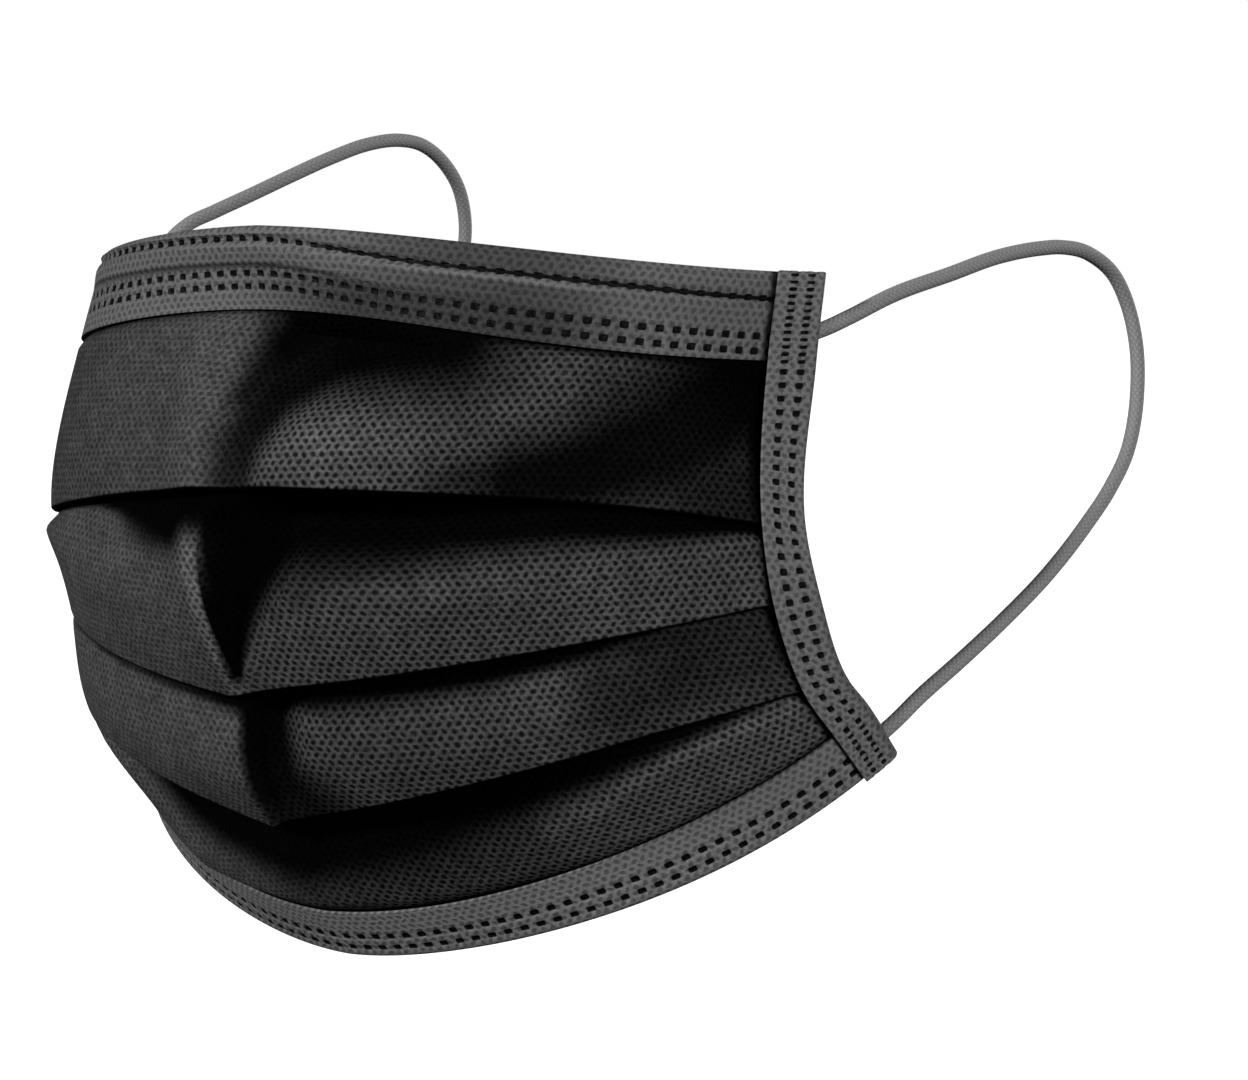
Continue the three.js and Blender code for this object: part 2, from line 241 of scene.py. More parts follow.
def use_only(piece):
    bpy.ops.object.select_all(action="DESELECT")
    piece.select_set(True)
    bpy.context.view_layer.objects.active = piece


def count(piece):
    piece.data.calc_loop_triangles()
    return len(piece.data.loop_triangles)


def turn_out_and_smooth(piece, angle):
    """Turns all faces outwards, and smooths the edges that bend by less than angle, in degrees."""
    use_only(piece)
    bpy.ops.object.mode_set(mode="EDIT")
    bpy.ops.mesh.select_all(action="SELECT")
    bpy.ops.mesh.normals_make_consistent(inside=False)
    bpy.ops.object.mode_set(mode="OBJECT")
    bpy.ops.object.shade_smooth_by_angle(angle=math.radians(angle))
    piece.select_set(False)


# %% [markdown]
# ## The ear loops
# Each loop is one length of soft round elastic. It comes out of the folded side strip near the
# top corner, goes round behind the ear and back into the same strip near the bottom corner. A
# bevelled curve would do, but a swept grid gives the knit a place to follow, so the loop is a
# tube drawn round a smooth line through given points. They are the imported model's points,
# and the line goes on at both ends into the fold of the strip, where the real ends are welded.

# %% Ear loops
CORD_DIAMETER = 2.2
CORD_SIDES = 20
CORD_STEP = 0.6
CORD_ANGLE = 50
CURVE_STEPS = 40
# Where the ends lie in the fold, near the top corner and near the bottom one.
TUCKED = ((60.4, 42.9, -10.1), (69.5, 46.9, -66))
LOOP_ROUTES = {
    "ear_loop_left": [
        (61.4, 45.9, -9.2), (61.3, 51, -7.9), (61.2, 63, -4.5), (61, 77, -1.7), (60.9, 90, 0.9),
        (61, 100.7, 2.1), (61, 106, 2.3), (61.3, 113.5, 1.3), (62, 119.3, -1.9),
        (62.8, 122.4, -7.2), (63.7, 122.9, -12), (64.9, 121.4, -20.5), (66, 117.2, -28.2),
        (66.8, 111.2, -33.6), (67.5, 103.2, -39), (68.3, 92.5, -45.2), (69, 78.7, -51.8),
        (69.5, 67.7, -56.5), (70, 57, -60.8), (70.3, 49.6, -64.2),
    ],
    "ear_loop_right": [
        (-61.4, 46.1, -9.2), (-62.7, 47.4, -7.4), (-64.6, 46.6, -4.2), (-65.6, 45.2, -0.4),
        (-65.5, 45.9, 3), (-64.4, 48.7, 5.8), (-62.9, 53.7, 8.1), (-61.4, 60.1, 10.7),
        (-60.1, 68, 13.8), (-59.2, 76.4, 16.8), (-58.5, 84.8, 19.2), (-58.2, 92, 20),
        (-58.4, 98, 19.3), (-58.9, 104, 16.4), (-59.5, 108.3, 12.4), (-60.4, 111, 6.6),
        (-61.6, 111.2, -1), (-63.2, 108.9, -10.5), (-64.8, 104, -20.5), (-66.3, 96.3, -30.5),
        (-67.7, 85.5, -40.5), (-68.9, 72.5, -49.5), (-69.8, 59.5, -57.6), (-70.3, 49.6, -64.2),
    ],
}


def hermite_slopes(before, start, finish, after, gap_a, gap_b, gap_c):
    """Slopes at start and finish of a curve whose speed follows the distances between points."""
    ahead = (finish - start) / gap_b
    leave = (start - before) / gap_a - (finish - before) / (gap_a + gap_b) + ahead
    arrive = ahead - (after - start) / (gap_b + gap_c) + (after - finish) / gap_c
    return leave * gap_b, arrive * gap_b


def hermite(start, finish, leave, arrive, part):
    """The point at part of the way along a curve, and the slope there."""
    square = -3 * start + 3 * finish - 2 * leave - arrive
    cube = 2 * start - 2 * finish + leave + arrive
    point = start + leave * part + square * part**2 + cube * part**3
    return point, leave + 2 * square * part + 3 * cube * part**2


def distances(line):
    return np.concatenate([[0], np.cumsum(np.linalg.norm(np.diff(line, axis=0), axis=1))])


def evenly(start, end, step):
    return np.linspace(start, end, int(abs(end - start) / step) + 1)


def look_up(table, places, wanted):
    return np.stack([np.interp(wanted, places, table[:, axis]) for axis in range(3)], axis=-1)


def unit(vectors):
    return vectors / np.linalg.norm(vectors, axis=-1, keepdims=True)


def through(points):
    """A smooth line through points, in even steps."""
    points = np.vstack([2 * points[0] - points[1], points, 2 * points[-1] - points[-2]])
    part = np.linspace(0, 1, CURVE_STEPS, endpoint=False)[:, None]
    pieces = []
    for corners in zip(points, points[1:], points[2:], points[3:]):
        gaps = [np.linalg.norm(b - a) for a, b in zip(corners, corners[1:])]
        pieces.append(hermite(*corners[1:3], *hermite_slopes(*corners, *gaps), part)[0])
    line = np.vstack([*pieces, points[-2]])
    reach = distances(line)
    return look_up(line, reach, evenly(0, reach[-1], CORD_STEP))


def loop_line(route):
    side = math.copysign(1, route[0][0])
    top, bottom = [(side * x, y, z) for x, y, z in TUCKED]
    return through(np.array([top, *route, bottom], float))


def tube(name, line, radius):
    """A round tube along line, closed at its ends. u runs round it and v along it, in mm."""
    forward = unit(np.gradient(line, axis=0))
    side = np.zeros_like(line)
    side[0] = unit(np.cross(forward[0], (0, 0, 1)))
    for i in range(1, len(line)):
        side[i] = unit(side[i - 1] - forward[i] * (side[i - 1] @ forward[i]))
    up = np.cross(forward, side)
    angle = np.linspace(0, 2 * math.pi, CORD_SIDES + 1)
    turn = angle[None, :-1, None]
    points = line[:, None] + radius * (np.cos(turn) * side[:, None] + np.sin(turn) * up[:, None])
    around, along = np.meshgrid(angle * radius, distances(line))
    piece = grid_mesh(name, points, np.stack([around, along], axis=-1))
    use_only(piece)
    bpy.ops.object.mode_set(mode="EDIT")
    bpy.ops.mesh.select_all(action="DESELECT")
    bpy.ops.mesh.select_non_manifold()
    bpy.ops.mesh.edge_face_add()
    bpy.ops.object.mode_set(mode="OBJECT")
    turn_out_and_smooth(piece, CORD_ANGLE)
    return piece


loop_lines = {name: loop_line(route) for name, route in LOOP_ROUTES.items()}
loops = {}
for name, line in loop_lines.items():
    loops[name] = tube(name + "_elastic", line, CORD_DIAMETER / 2)
    print(f"{name}: {distances(line)[-1]:.0f} mm of elastic, {count(loops[name])} triangles")

# %% [markdown]
# ## The rows of the mask
# Seven rows cross the mask: its top edge, the hem of the top strip, three folds, the hem of the
# bottom strip and the bottom edge. On the flat mask all of them are straight and equally long, so
# each one here is a curve of the same length, from the centre line to the side edge. A place on
# the mask is then a row, a station (millimetres from the centre line) and a part of the way down
# to the next row. Lines down the mask pass smoothly through all seven rows.

# %% Rows and lines
HALF_WIDTH = 90
ROWS = {
    # back and height of the centre point; the point on the side edge; and at either end the
    # heading and climb in degrees and the pull in mm
    "top_edge": (-4.1, 4.8, (59.7, 48.5, -1.6), (1, -1, 32), (85, -1, 39)),
    "top_hem": (-2.5, -6.5, (62.3, 42.9, -13.7), (-2, 0, 27), (78, -1, 49)),
    "first_fold": (-11.6, -31, (65.3, 36.5, -37.2), (-1, 0.5, 34), (83, -11, 32)),
    "second_fold": (-8.2, -59.9, (67.5, 36.9, -45.6), (-3, 7, 42.5), (77, 7, 16)),
    "third_fold": (0.2, -78.9, (69.3, 41.1, -57.2), (-1, 11, 24), (69, 12, 44.5)),
    "bottom_hem": (10, -92.2, (70.2, 44.8, -61.1), (2, 1, 31.5), (68, 37.5, 22)),
    "bottom_edge": (15.5, -99, (71.1, 50.1, -67.7), (4, -0.5, 17), (65, 37, 37)),
}
# The first fold hangs lower on the wearer's right: from which station, at which one it is lowest,
# and by how much.
FIRST_FOLD = list(ROWS).index("first_fold")
HANGS = dict(start=12, lowest=-60, drop=4.3)


def direction(heading, climb):
    heading, climb = math.radians(heading), math.radians(climb)
    flat = math.cos(climb)
    return np.array([flat * math.cos(heading), flat * math.sin(heading), math.sin(climb)])


def row_curve(back, height, side, centre_end, side_end, steps=800):
    """Points, directions and stations of half a row."""
    a = np.array([0, back, height], float)
    d = np.array(side, float)
    b = a + direction(*centre_end[:2]) * centre_end[2]
    c = d - direction(*side_end[:2]) * side_end[2]
    t = np.linspace(0, 1, steps + 1)[:, None]
    points = (1 - t) ** 3 * a + 3 * (1 - t) ** 2 * t * b + 3 * (1 - t) * t**2 * c + t**3 * d
    slopes = (1 - t) ** 2 * (b - a) + 2 * (1 - t) * t * (c - b) + t**2 * (d - c)
    reach = distances(points)
    return points, unit(slopes), reach / reach[-1] * HALF_WIDTH


row_curves = [row_curve(*row) for row in ROWS.values()]
LAST = len(row_curves) - 1


def row_point(row, station):
    points, _, stations = row_curves[row]
    found = look_up(points, stations, np.abs(station))
    if row == FIRST_FOLD:
        reach = (HANGS["start"] - station) / (HANGS["start"] - HANGS["lowest"])
        found[..., 2] -= HANGS["drop"] * np.sin(math.pi / 2 * np.clip(reach, 0, 2)) ** 2
    found[..., 0] *= np.where(station < 0, -1, 1)
    return found


def row_direction(row, station):
    _, slopes, stations = row_curves[row]
    found = look_up(slopes, stations, np.abs(station))
    found[..., 1:] *= np.sign(station)[..., None]
    return found


def spacing(row, station):
    """Distance from a row to the next one down."""
    return np.linalg.norm(row_point(row + 1, station) - row_point(row, station), axis=-1)


def skeleton(row, station, part):
    """The point at part of the way to the next row, the way down there and the outward normal."""
    station, part = np.broadcast_arrays(np.asarray(station, float), part)
    here = [row_point(min(max(k, 0), LAST), station) for k in range(row - 1, row + 3)]
    if row == 0:
        here[0] = 2 * here[1] - here[2]
    if row + 1 == LAST:
        here[3] = 2 * here[2] - here[1]
    gaps = [np.linalg.norm(b - a, axis=-1, keepdims=True) for a, b in zip(here, here[1:])]
    part = part[..., None]
    point, slope = hermite(here[1], here[2], *hermite_slopes(*here, *gaps), part)
    across = row_direction(row, station) * (1 - part) + row_direction(row + 1, station) * part
    down = unit(slope)
    return point, down, unit(np.cross(down, unit(across)))


for name, (points, _, _) in zip(ROWS, row_curves):
    print(f"{name}: half row {distances(points)[-1]:.1f} mm")

# %% [markdown]
# ## The shape of the cloth
# The real sheet is pressed flat in three pleats, and a face draws them open. Each panel hangs
# from behind the fold above it, comes forward, and turns under at its own fold. Inside a fold the
# cloth goes up and comes down again, so at the sides it lies three layers deep. The nose pushes
# out a pinched crease, firm right under the first fold, with deep dents beside it. No face is
# even, so the dents differ from side to side. Shade is painted into the cloth's colour in the
# hollows, and a highlight is painted where the cloth is pulled tight.
#
# A cloth simulation would lose the pressed edges, so all this is worked out by formulas from
# short tables of sizes.

# %% Shape of the cloth
PLY = 0.45
LAYER = 0.75
TURN = LAYER / 2
# How far the middle of a panel swells, how high the crease over the nose stands in it and at its
# fold, how high up it stands highest, how little it gives way below the fold above, and between
# which stations it is flat, at the panel's top and at its foot.
PANELS = [
    dict(bulge=1.6, ridge=0.8, lower_ridge=0.8, peak=0.8, firm=0, flat=((-0.4, 0.4), (-0.4, 0.4))),
    dict(bulge=1.6, ridge=4.2, lower_ridge=0.8, peak=0.45, firm=0.9, flat=((-0.8, 3), (1.5, 2))),
    dict(bulge=0.8, ridge=1.4, lower_ridge=0.4, peak=0.8, firm=0, flat=((-0.2, 0.2), (-0.2, 0.2))),
    dict(bulge=0.6, ridge=0.4, lower_ridge=0, peak=0.8, firm=0, flat=((-0.5, 0.5), (-0.5, 0.5))),
]
# How far each fold stands open: stations and mm.
OPENINGS = {
    1: ((-74, 0), (-38, 0), (-20, 2.2), (0, 3.8), (28, 5.6), (57, 2.4), (78, 0)),
    2: ((-60, 0), (-20, 0.2), (0, 0.6), (8, 2.2), (38, 2.4), (52, 1.2), (64, 0.2), (76, 0)),
    3: ((-80, 0), (-62, 0.8), (-34, 2.2), (0, 4.4), (20, 5), (42, 4), (62, 2), (78, 0)),
}
# Hollows (deep is more than 0) and swells (less than 0). Each has its panel, and then follows a
# line of places: station, part of the panel, half width, depth, and the painted shade over it, as
# the share of light taken from the colour, which is less than 0 where a highlight is painted.
HOLLOWS = [
    (0, (32.5, 0, 15.5, 2.9, 1), (15.8, 0.17, 10.8, 3, 1), (7.4, 0.43, 7.6, 2.4, 0.97),
     (4, 0.73, 5.4, 1.8, 0.9), (2.6, 1, 4.8, 1.2, 0.75)),
    (0, (14, -0.1, 12, 1, 1), (6, 0.18, 7, 1, 1), (3, 0.5, 4.5, 0.6, 0.9)),
    (0, (-7, 0, 4.5, -0.9, -0.15), (-8, 0.28, 4.5, -1.1, -0.15), (-6.2, 0.57, 4, -1, -0.15),
     (-4.4, 1, 3.6, -0.8, -0.12)),
    (0, (50, 0.08, 7, -1.2, 0), (32, 0.37, 8, -1.4, -0.45), (18, 0.62, 7, -1.2, -0.5),
     (11, 0.9, 6, -1, -0.2)),
    (0, (36, 1, 5, 1.2, 0.6), (46, 0.9, 7.5, 2, 0.97), (55, 0.78, 9, 2.4, 0.98),
     (68, 0.5, 13, 2, 0.95), (79, 0.1, 16, 1.6, 1)),
    (0, (70, 0.7, 12, 0, 0.75), (80, 0.95, 12, 0, 0.8)),
    (0, (-70, 0.5, 18, 0, 0.14), (-24, 0.5, 18, 0, 0.12)),
    (1, (1.1, 0.05, 2.4, 0, -0.8), (1.1, 0.35, 2.3, 0, -0.9), (1.5, 0.7, 1.6, 0, -0.8),
     (1.8, 1, 1.1, 0, -0.5)),
    (1, (-18, 0.04, 4, 0, 0.9), (-7, 0.15, 4.6, 0.6, 1), (-4.5, 0.2, 3, 0.6, 1)),
    (1, (14, 0.6, 12, 0, 0.16), (36, 0.6, 12, 0, 0.14)),
    (1, (60, 0.65, 11, 0, -0.25), (80, 0.6, 11, 0, -0.25)),
    (1, (-70, 0.6, 12, 0, -0.12), (-16, 0.6, 12, 0, -0.12)),
    (1, (-62, 0.12, 4.5, -1, 0), (-38, 0.12, 4.5, -0.8, 0)),
    (2, (-70, 0.5, 12, 0, -0.12), (-12, 0.5, 12, 0, -0.12)),
    (2, (15, 0.45, 10, 0, 0.2), (36, 0.5, 10, 0, 0.2)),
    (2, (58, 0.5, 9, 1, 0.65), (68, 0.35, 9, 1, 0.75), (78, 0.3, 9, 0.6, 0.6)),
    (3, (14, 0.5, 9, 0.8, 0.28), (32, 0.5, 10, 0.8, 0.34)),
    (3, (-36, 0.84, 5, -0.5, -0.3), (-26, 0.8, 5.5, -1, -0.4), (-12, 0.7, 7, 0, -0.4)),
    (3, (50, 0.6, 10, 0, -0.4), (78, 0.6, 10, 0, -0.5)),
]
# Hollows that begin at the crease and lie on the wearer's left of it, with shade painted into them.
BESIDE_CREASE = [
    (1, (42, 0.04, 7, 1.5, 1), (11, 0.05, 17, 4, 1), (7, 0.25, 11, 5, 1), (4, 0.55, 5.4, 3.6, 1),
     (2.6, 0.88, 1.6, 1.2, 1)),
    (2, (2.2, 0, 6.3, 3, 1), (2.4, 0.4, 6.2, 3, 1), (3, 0.7, 7.5, 2, 0.98),
     (6, 0.95, 11, 0.5, 0.9)),
]
CUT, CUT_SHADE = 1, 0.5
# A hollow's painted shade is full up to this many half widths from its line, and ends at this many.
HOLLOW_DARK, HOLLOW_ENDS = 0.25, 1.35
HOLLOW_FROM = 3
# Where the pleats are shut and where they are open: how high up the cloth goes inside a fold, and
# how far down a panel it comes forward again.
TUCK = (4.2, 7)
SETTLE = (3, 15)
# Up to which station the pleats are open, and from which they are shut, on the wearer's right and
# on the left.
OPEN = ((18, 54), (30, 76))
CREASE_LEFT, CREASE_RIGHT = 5, 16
CREASE_ROUND = 6
CREASE_TIP = 0.6
HEM_STEP = 1.8
# Lines in each turn and in each layer of a fold.
TURN_LINES, LAYER_LINES = 5, 7
# A table's values are averaged over these shifts along the mask, which rounds their corners.
EASING = (-6, -3, 0, 3, 6)


def smooth(value):
    value = np.clip(value, 0, 1)
    return value * value * (3 - 2 * value)


def mix(a, b, share):
    return a + (b - a) * share


def between(value, start, end):
    """Rises smoothly from 0 at start to 1 at end, which may be the smaller one."""
    if hasattr(value, "between"):  # a value inside a finish, which has its own way to do this
        return value.between(start, end)
    return smooth((value - start) / (end - start))


def half_turn(number):
    """Angles inside a half turn."""
    return np.radians(np.linspace(0, 180, number + 2))[1:-1]


def openness(station):
    """1 where the pleats are open and 0 where they are shut."""
    open_to, shut_from = (np.where(station < 0, *sides) for sides in zip(*OPEN))
    return between(np.abs(station), shut_from, open_to)


def eased(table, station):
    """The table's value at a station, with its corners rounded."""
    places, values = zip(*table)
    return sum(np.interp(station + shift, places, values) for shift in EASING) / len(EASING)


def gap(fold, station):
    return 2 * LAYER + eased(OPENINGS[fold], station)


def crest(panel, part):
    """The stations between which the crease over the nose is flat."""
    return [mix(top, foot, part) for top, foot in zip(*PANELS[panel]["flat"])]


def crease_shape(panel, station, part):
    """1 on the crest and 0 far from it."""
    start, end = crest(panel, part)
    beyond = np.maximum(np.maximum(start - station, station - end), 0)
    away = np.sqrt(beyond**2 + CREASE_TIP**2) - CREASE_TIP
    if panel == 0:
        return np.exp(-((away / CREASE_ROUND) ** 2))
    falling = 1 - smooth((station - end) / CREASE_LEFT)
    return np.where(station > end, falling, np.exp(-away / CREASE_RIGHT))


def crease(panel, station, part):
    form = PANELS[panel]
    upper = 0 if panel == 0 else PANELS[panel - 1]["lower_ridge"]
    wave = np.sin(math.pi * np.clip(part, 0, 1) ** form["peak"])
    height = mix(upper, form["lower_ridge"], part) + form["ridge"] * wave
    return height * crease_shape(panel, station, part)


def hollow(line, station, part, length):
    """Depth of a hollow, and its painted shade: the share of light taken from its colour."""
    depth, dark, nearest = (np.zeros(np.broadcast(station, part).shape) for _ in range(3))
    for (s0, p0, *start), (s1, p1, *end) in zip(line, line[1:]):
        ax, ay = station - s0, (part - p0) * length
        bx, by = s1 - s0, (p1 - p0) * length
        t = np.clip((ax * bx + ay * by) / (bx * bx + by * by), 0, 1)
        width, deep, missed = (mix(a, b, t) for a, b in zip(start, end))
        away = np.hypot(ax - bx * t, ay - by * t) / width
        near = np.exp(-(away**2))
        depth = np.where(near > nearest, deep * near, depth)
        misses = missed * between(away, HOLLOW_ENDS, HOLLOW_DARK)
        dark = np.where(np.abs(misses) > np.abs(dark), misses, dark)
        nearest = np.maximum(near, nearest)
    return depth * between(part * length, 0, HOLLOW_FROM), dark


# The depth of a panel's hollows and their painted shade, which is less than 0 where a highlight is painted.
def hollows(panel, station, part, length):
    past = station - crest(panel, part)[1]
    cuts = smooth(past / CUT), smooth(past / CUT_SHADE + 1)
    depth, dark, lighter = 0, 0, 0
    for forms, (cut, cut_shade) in ((HOLLOWS, (1, 1)), (BESIDE_CREASE, cuts)):
        for line in (places for place, *places in forms if place == panel):
            deep, missed = hollow(line, station, part, length)
            depth, missed = depth + deep * cut, missed * cut_shade
            dark, lighter = np.maximum(dark, missed), np.minimum(lighter, missed)
    return depth, dark + lighter * (1 - dark)


def recess(panel, station, part, length):
    """How far the middle of the cloth lies behind the line through the rows."""
    from_top, from_foot = part * length, (1 - part) * length
    bulge = PANELS[panel]["bulge"] * np.sin(math.pi * part) * openness(station)
    depth = hollows(panel, station, part, length)[0] - bulge - crease(panel, station, part)
    if panel == 0:
        depth = depth + LAYER * between(from_top, HEM_STEP, 0)
    else:
        firm = PANELS[panel]["firm"] * crease_shape(panel, station, part)
        settle = mix(*SETTLE, openness(station) * (1 - firm))
        depth = depth + gap(panel, station) * between(from_top, settle, 0)
    if panel == len(PANELS) - 1:
        depth = depth + LAYER * between(from_foot, HEM_STEP, 0)
    return depth


def offset(row, station, part, inward, drop=0):
    """The point at part of the way to the next row, moved inwards and down, in mm."""
    point, down, normal = skeleton(row, station, part)
    inward, drop = (np.broadcast_to(move, station.shape)[..., None] for move in (inward, drop))
    return point - normal * inward + down * drop


def cloth_point(panel, station, part, inward=0, drop=0):
    behind = recess(panel, station, part, spacing(panel + 1, station)) + inward
    return offset(panel + 1, station, part, behind, drop)


def turn_part(panel, station):
    """The part of a panel where the cloth begins to turn, so that the fold's edge is on its row."""
    if panel == len(PANELS) - 1:
        return np.ones_like(station)
    return 1 - (TURN + PLY / 2) / spacing(panel + 1, station)


def folded_layers(fold, station):
    """The lines behind a fold: round its turn and up its back, then over and down again."""
    panel = fold - 1
    foot = turn_part(panel, station)
    top = 1 - mix(*TUCK, openness(station)) / spacing(fold, station)
    spare = (gap(fold, station) - 2 * LAYER) / 2
    lines = []
    for here, there, base, turn in ((foot, top, 0, TURN), (top, foot, LAYER + spare, -TURN)):
        for angle in half_turn(TURN_LINES):
            inward = base + TURN * (1 - math.cos(angle))
            lines.append(cloth_point(panel, station, here, inward, turn * math.sin(angle)))
        for share in np.linspace(0, 1, LAYER_LINES):
            inward = base + LAYER + spare * share
            lines.append(cloth_point(panel, station, mix(here, there, share), inward))
    return lines


print("folds open in mm:", [round(float(eased(table, 0)), 1) for table in OPENINGS.values()])

# %% [markdown]
# ## The cloth's mesh
# The panels get their lines about every millimetre, and the stations stand closer together
# beside the centre crease. On the flat cloth a place is its station and its distance from the
# panel's own fold, so the pressed pattern keeps its size on every panel. A small slant keeps the
# pattern's rows level where the panels widen towards the sides.
#
# Shade is painted into the cloth's colour inside and below each fold, along a hem, along a side
# strip and in the hollows, and a highlight is painted where the cloth is pulled tight. The mesh
# carries that painted shade as a number at each point, called Nook, for the finish. It is less
# than 0 where a highlight is painted, and 0 all over the inner face, which is in the open.

# %% Cloth mesh
CLOTH_END = 87.4
# How far from the mask's edges the cloth begins and ends, inside the strips, and its lines there.
BELOW_TOP, ABOVE_BOTTOM = 7.2, 1.4
TOP_LINES, BOTTOM_LINES = 4, 5
# Stations are half a millimetre apart up to the first number, and then so many to the end.
FINE_TO, FINE_STEP, WIDE_STATIONS = 12, 0.5, 76
PANEL_LINES = [28, 32, 22, 20]
# Between these stations the pattern goes from the cloth's own length across to the mask's.
CREASE_FROM, CREASE_TO = 8, 38
ROW_SLANTS = (0.06, -0.14, -0.2, -0.25)
SIDE_WIDTH = (10, 6.5)
SHEET_ANGLE = 40
# How far shade is painted along a hem or a side strip, and where in that reach it ends and is full.
PAINTED_SHADE_REACH = 0.9
PAINTED_SHADE_EDGE = (1.25, 0.6)
SIDE_PAINTED_SHADE_EDGE = (1.4, 0.4)
# How far down shade is painted below each fold: stations and mm.
SHADE = {
    1: (
        (-74, 1), (-40, 1), (-29, 1), (-20, 4), (-15, 6.4), (-10, 8.6), (-5, 9), (0, 4), (3, 5),
        (8, 10), (28, 11.5), (57, 6.6), (70, 4.4), (80, 1.2),
    ),
    2: ((-60, 2), (-20, 2), (-6, 2.6), (0, 3), (8, 5.4), (38, 5), (52, 3), (62, 1), (68, 0.2)),
    3: (
        (-60, 1), (-36, 3), (-28, 8), (-20, 12), (-10, 14), (20, 15), (42, 10.5), (62, 4),
        (78, 0.6),
    ),
}

half = np.concatenate([
    np.arange(0, FINE_TO, FINE_STEP), np.linspace(FINE_TO, CLOTH_END, WIDE_STATIONS)
])
stations = np.concatenate([-half[:0:-1], half])


def side_inner_edge(place):
    """Station of a side strip's inner edge. place counts rows from the top edge."""
    return HALF_WIDTH - mix(*SIDE_WIDTH, place / LAST)


# Painted shade along the inner edge of a side strip.
def side_painted_shade(station, place):
    away = (side_inner_edge(place) - np.abs(station)) / PAINTED_SHADE_REACH
    return between(away, *SIDE_PAINTED_SHADE_EDGE)


# Painted shade below each fold, along the hems and side strips and in the hollows, and a painted highlight where it is
# less than 0.
def painted_shading(panel, station, part):
    length = spacing(panel + 1, station)
    reach = eased(SHADE[panel], station) if panel > 0 else PAINTED_SHADE_REACH
    found = between(part * length / reach, *PAINTED_SHADE_EDGE)
    if panel == len(PANELS) - 1:
        found = np.maximum(found, between((1 - part) * length / PAINTED_SHADE_REACH, 1, 0))
    for other in (hollows(panel, station, part, length)[1], side_painted_shade(station, panel + 1 + part)):
        found = found + other * (1 - found)
    return found


def band_lines(row, from_part, to_part, number):
    """Lines of cloth that lie one layer deep, behind a strip."""
    shares = np.linspace(0, 1, number)
    return [offset(row, stations, mix(from_part, to_part, share), LAYER) for share in shares]


def cloth_lines():
    """Lines across the cloth from top to bottom, the painted shade at each, and the lines that are folds."""
    # The layers inside the folds and under the strips are painted fully shaded.
    hidden = np.ones_like(stations)
    lines = band_lines(0, BELOW_TOP / spacing(0, stations), 1, TOP_LINES)[:-1]
    painted_shades = [hidden] * len(lines)
    folds = []
    for panel, number in enumerate(PANEL_LINES):
        foot = turn_part(panel, stations)
        for share in np.linspace(0, 1, number)[(panel > 0):]:
            lines.append(cloth_point(panel, stations, foot * share))
            painted_shades.append(painted_shading(panel, stations, foot * share))
        folds.append(len(lines) - 1)
        if panel < len(PANELS) - 1:
            layers = folded_layers(panel + 1, stations)
            lines += layers
            painted_shades += [hidden] * len(layers)
    end = 1 - ABOVE_BOTTOM / spacing(LAST - 1, stations)
    under_hem = band_lines(LAST - 1, 0, end, BOTTOM_LINES)[1:]
    return np.array(lines + under_hem), np.array(painted_shades + [hidden] * len(under_hem)), folds


def flat_places(points, folds):
    """Station and distance down the sheet, kept in step along each panel's fold."""
    steps = np.linalg.norm(np.diff(points, axis=0), axis=2)
    down = np.concatenate([np.zeros((1, len(stations))), np.cumsum(steps, axis=0)])
    ends = [fold + TURN_LINES + LAYER_LINES for fold in folds[:-1]]
    panel = np.searchsorted(ends, np.arange(len(points)))
    at_fold = down[np.array(folds)[panel]]
    middle = len(stations) // 2
    v = down - at_fold + at_fold[:, middle][:, None]
    across = np.linalg.norm(np.diff(points, axis=1), axis=2)
    u = np.concatenate([np.zeros((len(points), 1)), np.cumsum(across, axis=1)], axis=1)
    u -= u[:, middle][:, None]
    share = 1 - smooth((np.abs(stations) - CREASE_FROM) / (CREASE_TO - CREASE_FROM))
    u = mix(stations, u, share)
    v = v + np.array(ROW_SLANTS)[panel][:, None] * np.abs(u)
    return np.stack([u, v], axis=-1), down[-1].max()


def sheet(name, lines, flats, painted_shades=None, thickness=PLY):
    """A sheet with its thickness, half to each side. Its painted shade, if given, is for its outer
    face, whose points come first."""
    piece = grid_mesh(name, np.array(lines), np.array(flats))
    use_only(piece)
    modifier = piece.modifiers.new("Solidify", "SOLIDIFY")
    modifier.thickness = thickness * MM
    modifier.offset = 0
    modifier.use_even_offset = True
    bpy.ops.object.modifier_apply(modifier=modifier.name)
    turn_out_and_smooth(piece, SHEET_ANGLE)
    if painted_shades is not None:
        outer = np.asarray(painted_shades, np.float32).ravel()
        layer = piece.data.attributes.new("PaintedShading", "FLOAT", "POINT")
        layer.data.foreach_set("value", np.concatenate([outer, np.zeros_like(outer)]))
    print(f"{name}: {count(piece)} triangles")
    return piece


cloth_points, cloth_painted_shades, fold_lines = cloth_lines()
cloth_flat, flat_length = flat_places(cloth_points, fold_lines)
body = sheet("pleated_cloth", cloth_points, cloth_flat, cloth_painted_shades)
print(f"cloth: {flat_length:.1f} mm from top to bottom when flat")

# %% [markdown]
# ## Weld marks
# Narrow ribs on a hot roller press the strips onto the cloth and leave rows of small pits.
# They are real pits in the mesh, and their finish is worked out by the same functions, so that
# the dark bottoms sit exactly in them. In the top strip the uppermost marks run together over the
# nose wire on the wearer's left, in one pressed groove, and the strip was fed in a little askew,
# so its rows drift away from the edge.

# %% Weld marks
MARK_HALVES, MARK_DEPTH = (0.72, 0.5), 0.25
TOP_WELDS = dict(pitch=2.6, first=0.4, rows=(0.19, 0.61, 0.775), height=11.4)
BOTTOM_WELDS = dict(pitch=2.62, first=1.5, rows=(0.22, 0.47), height=8.6)
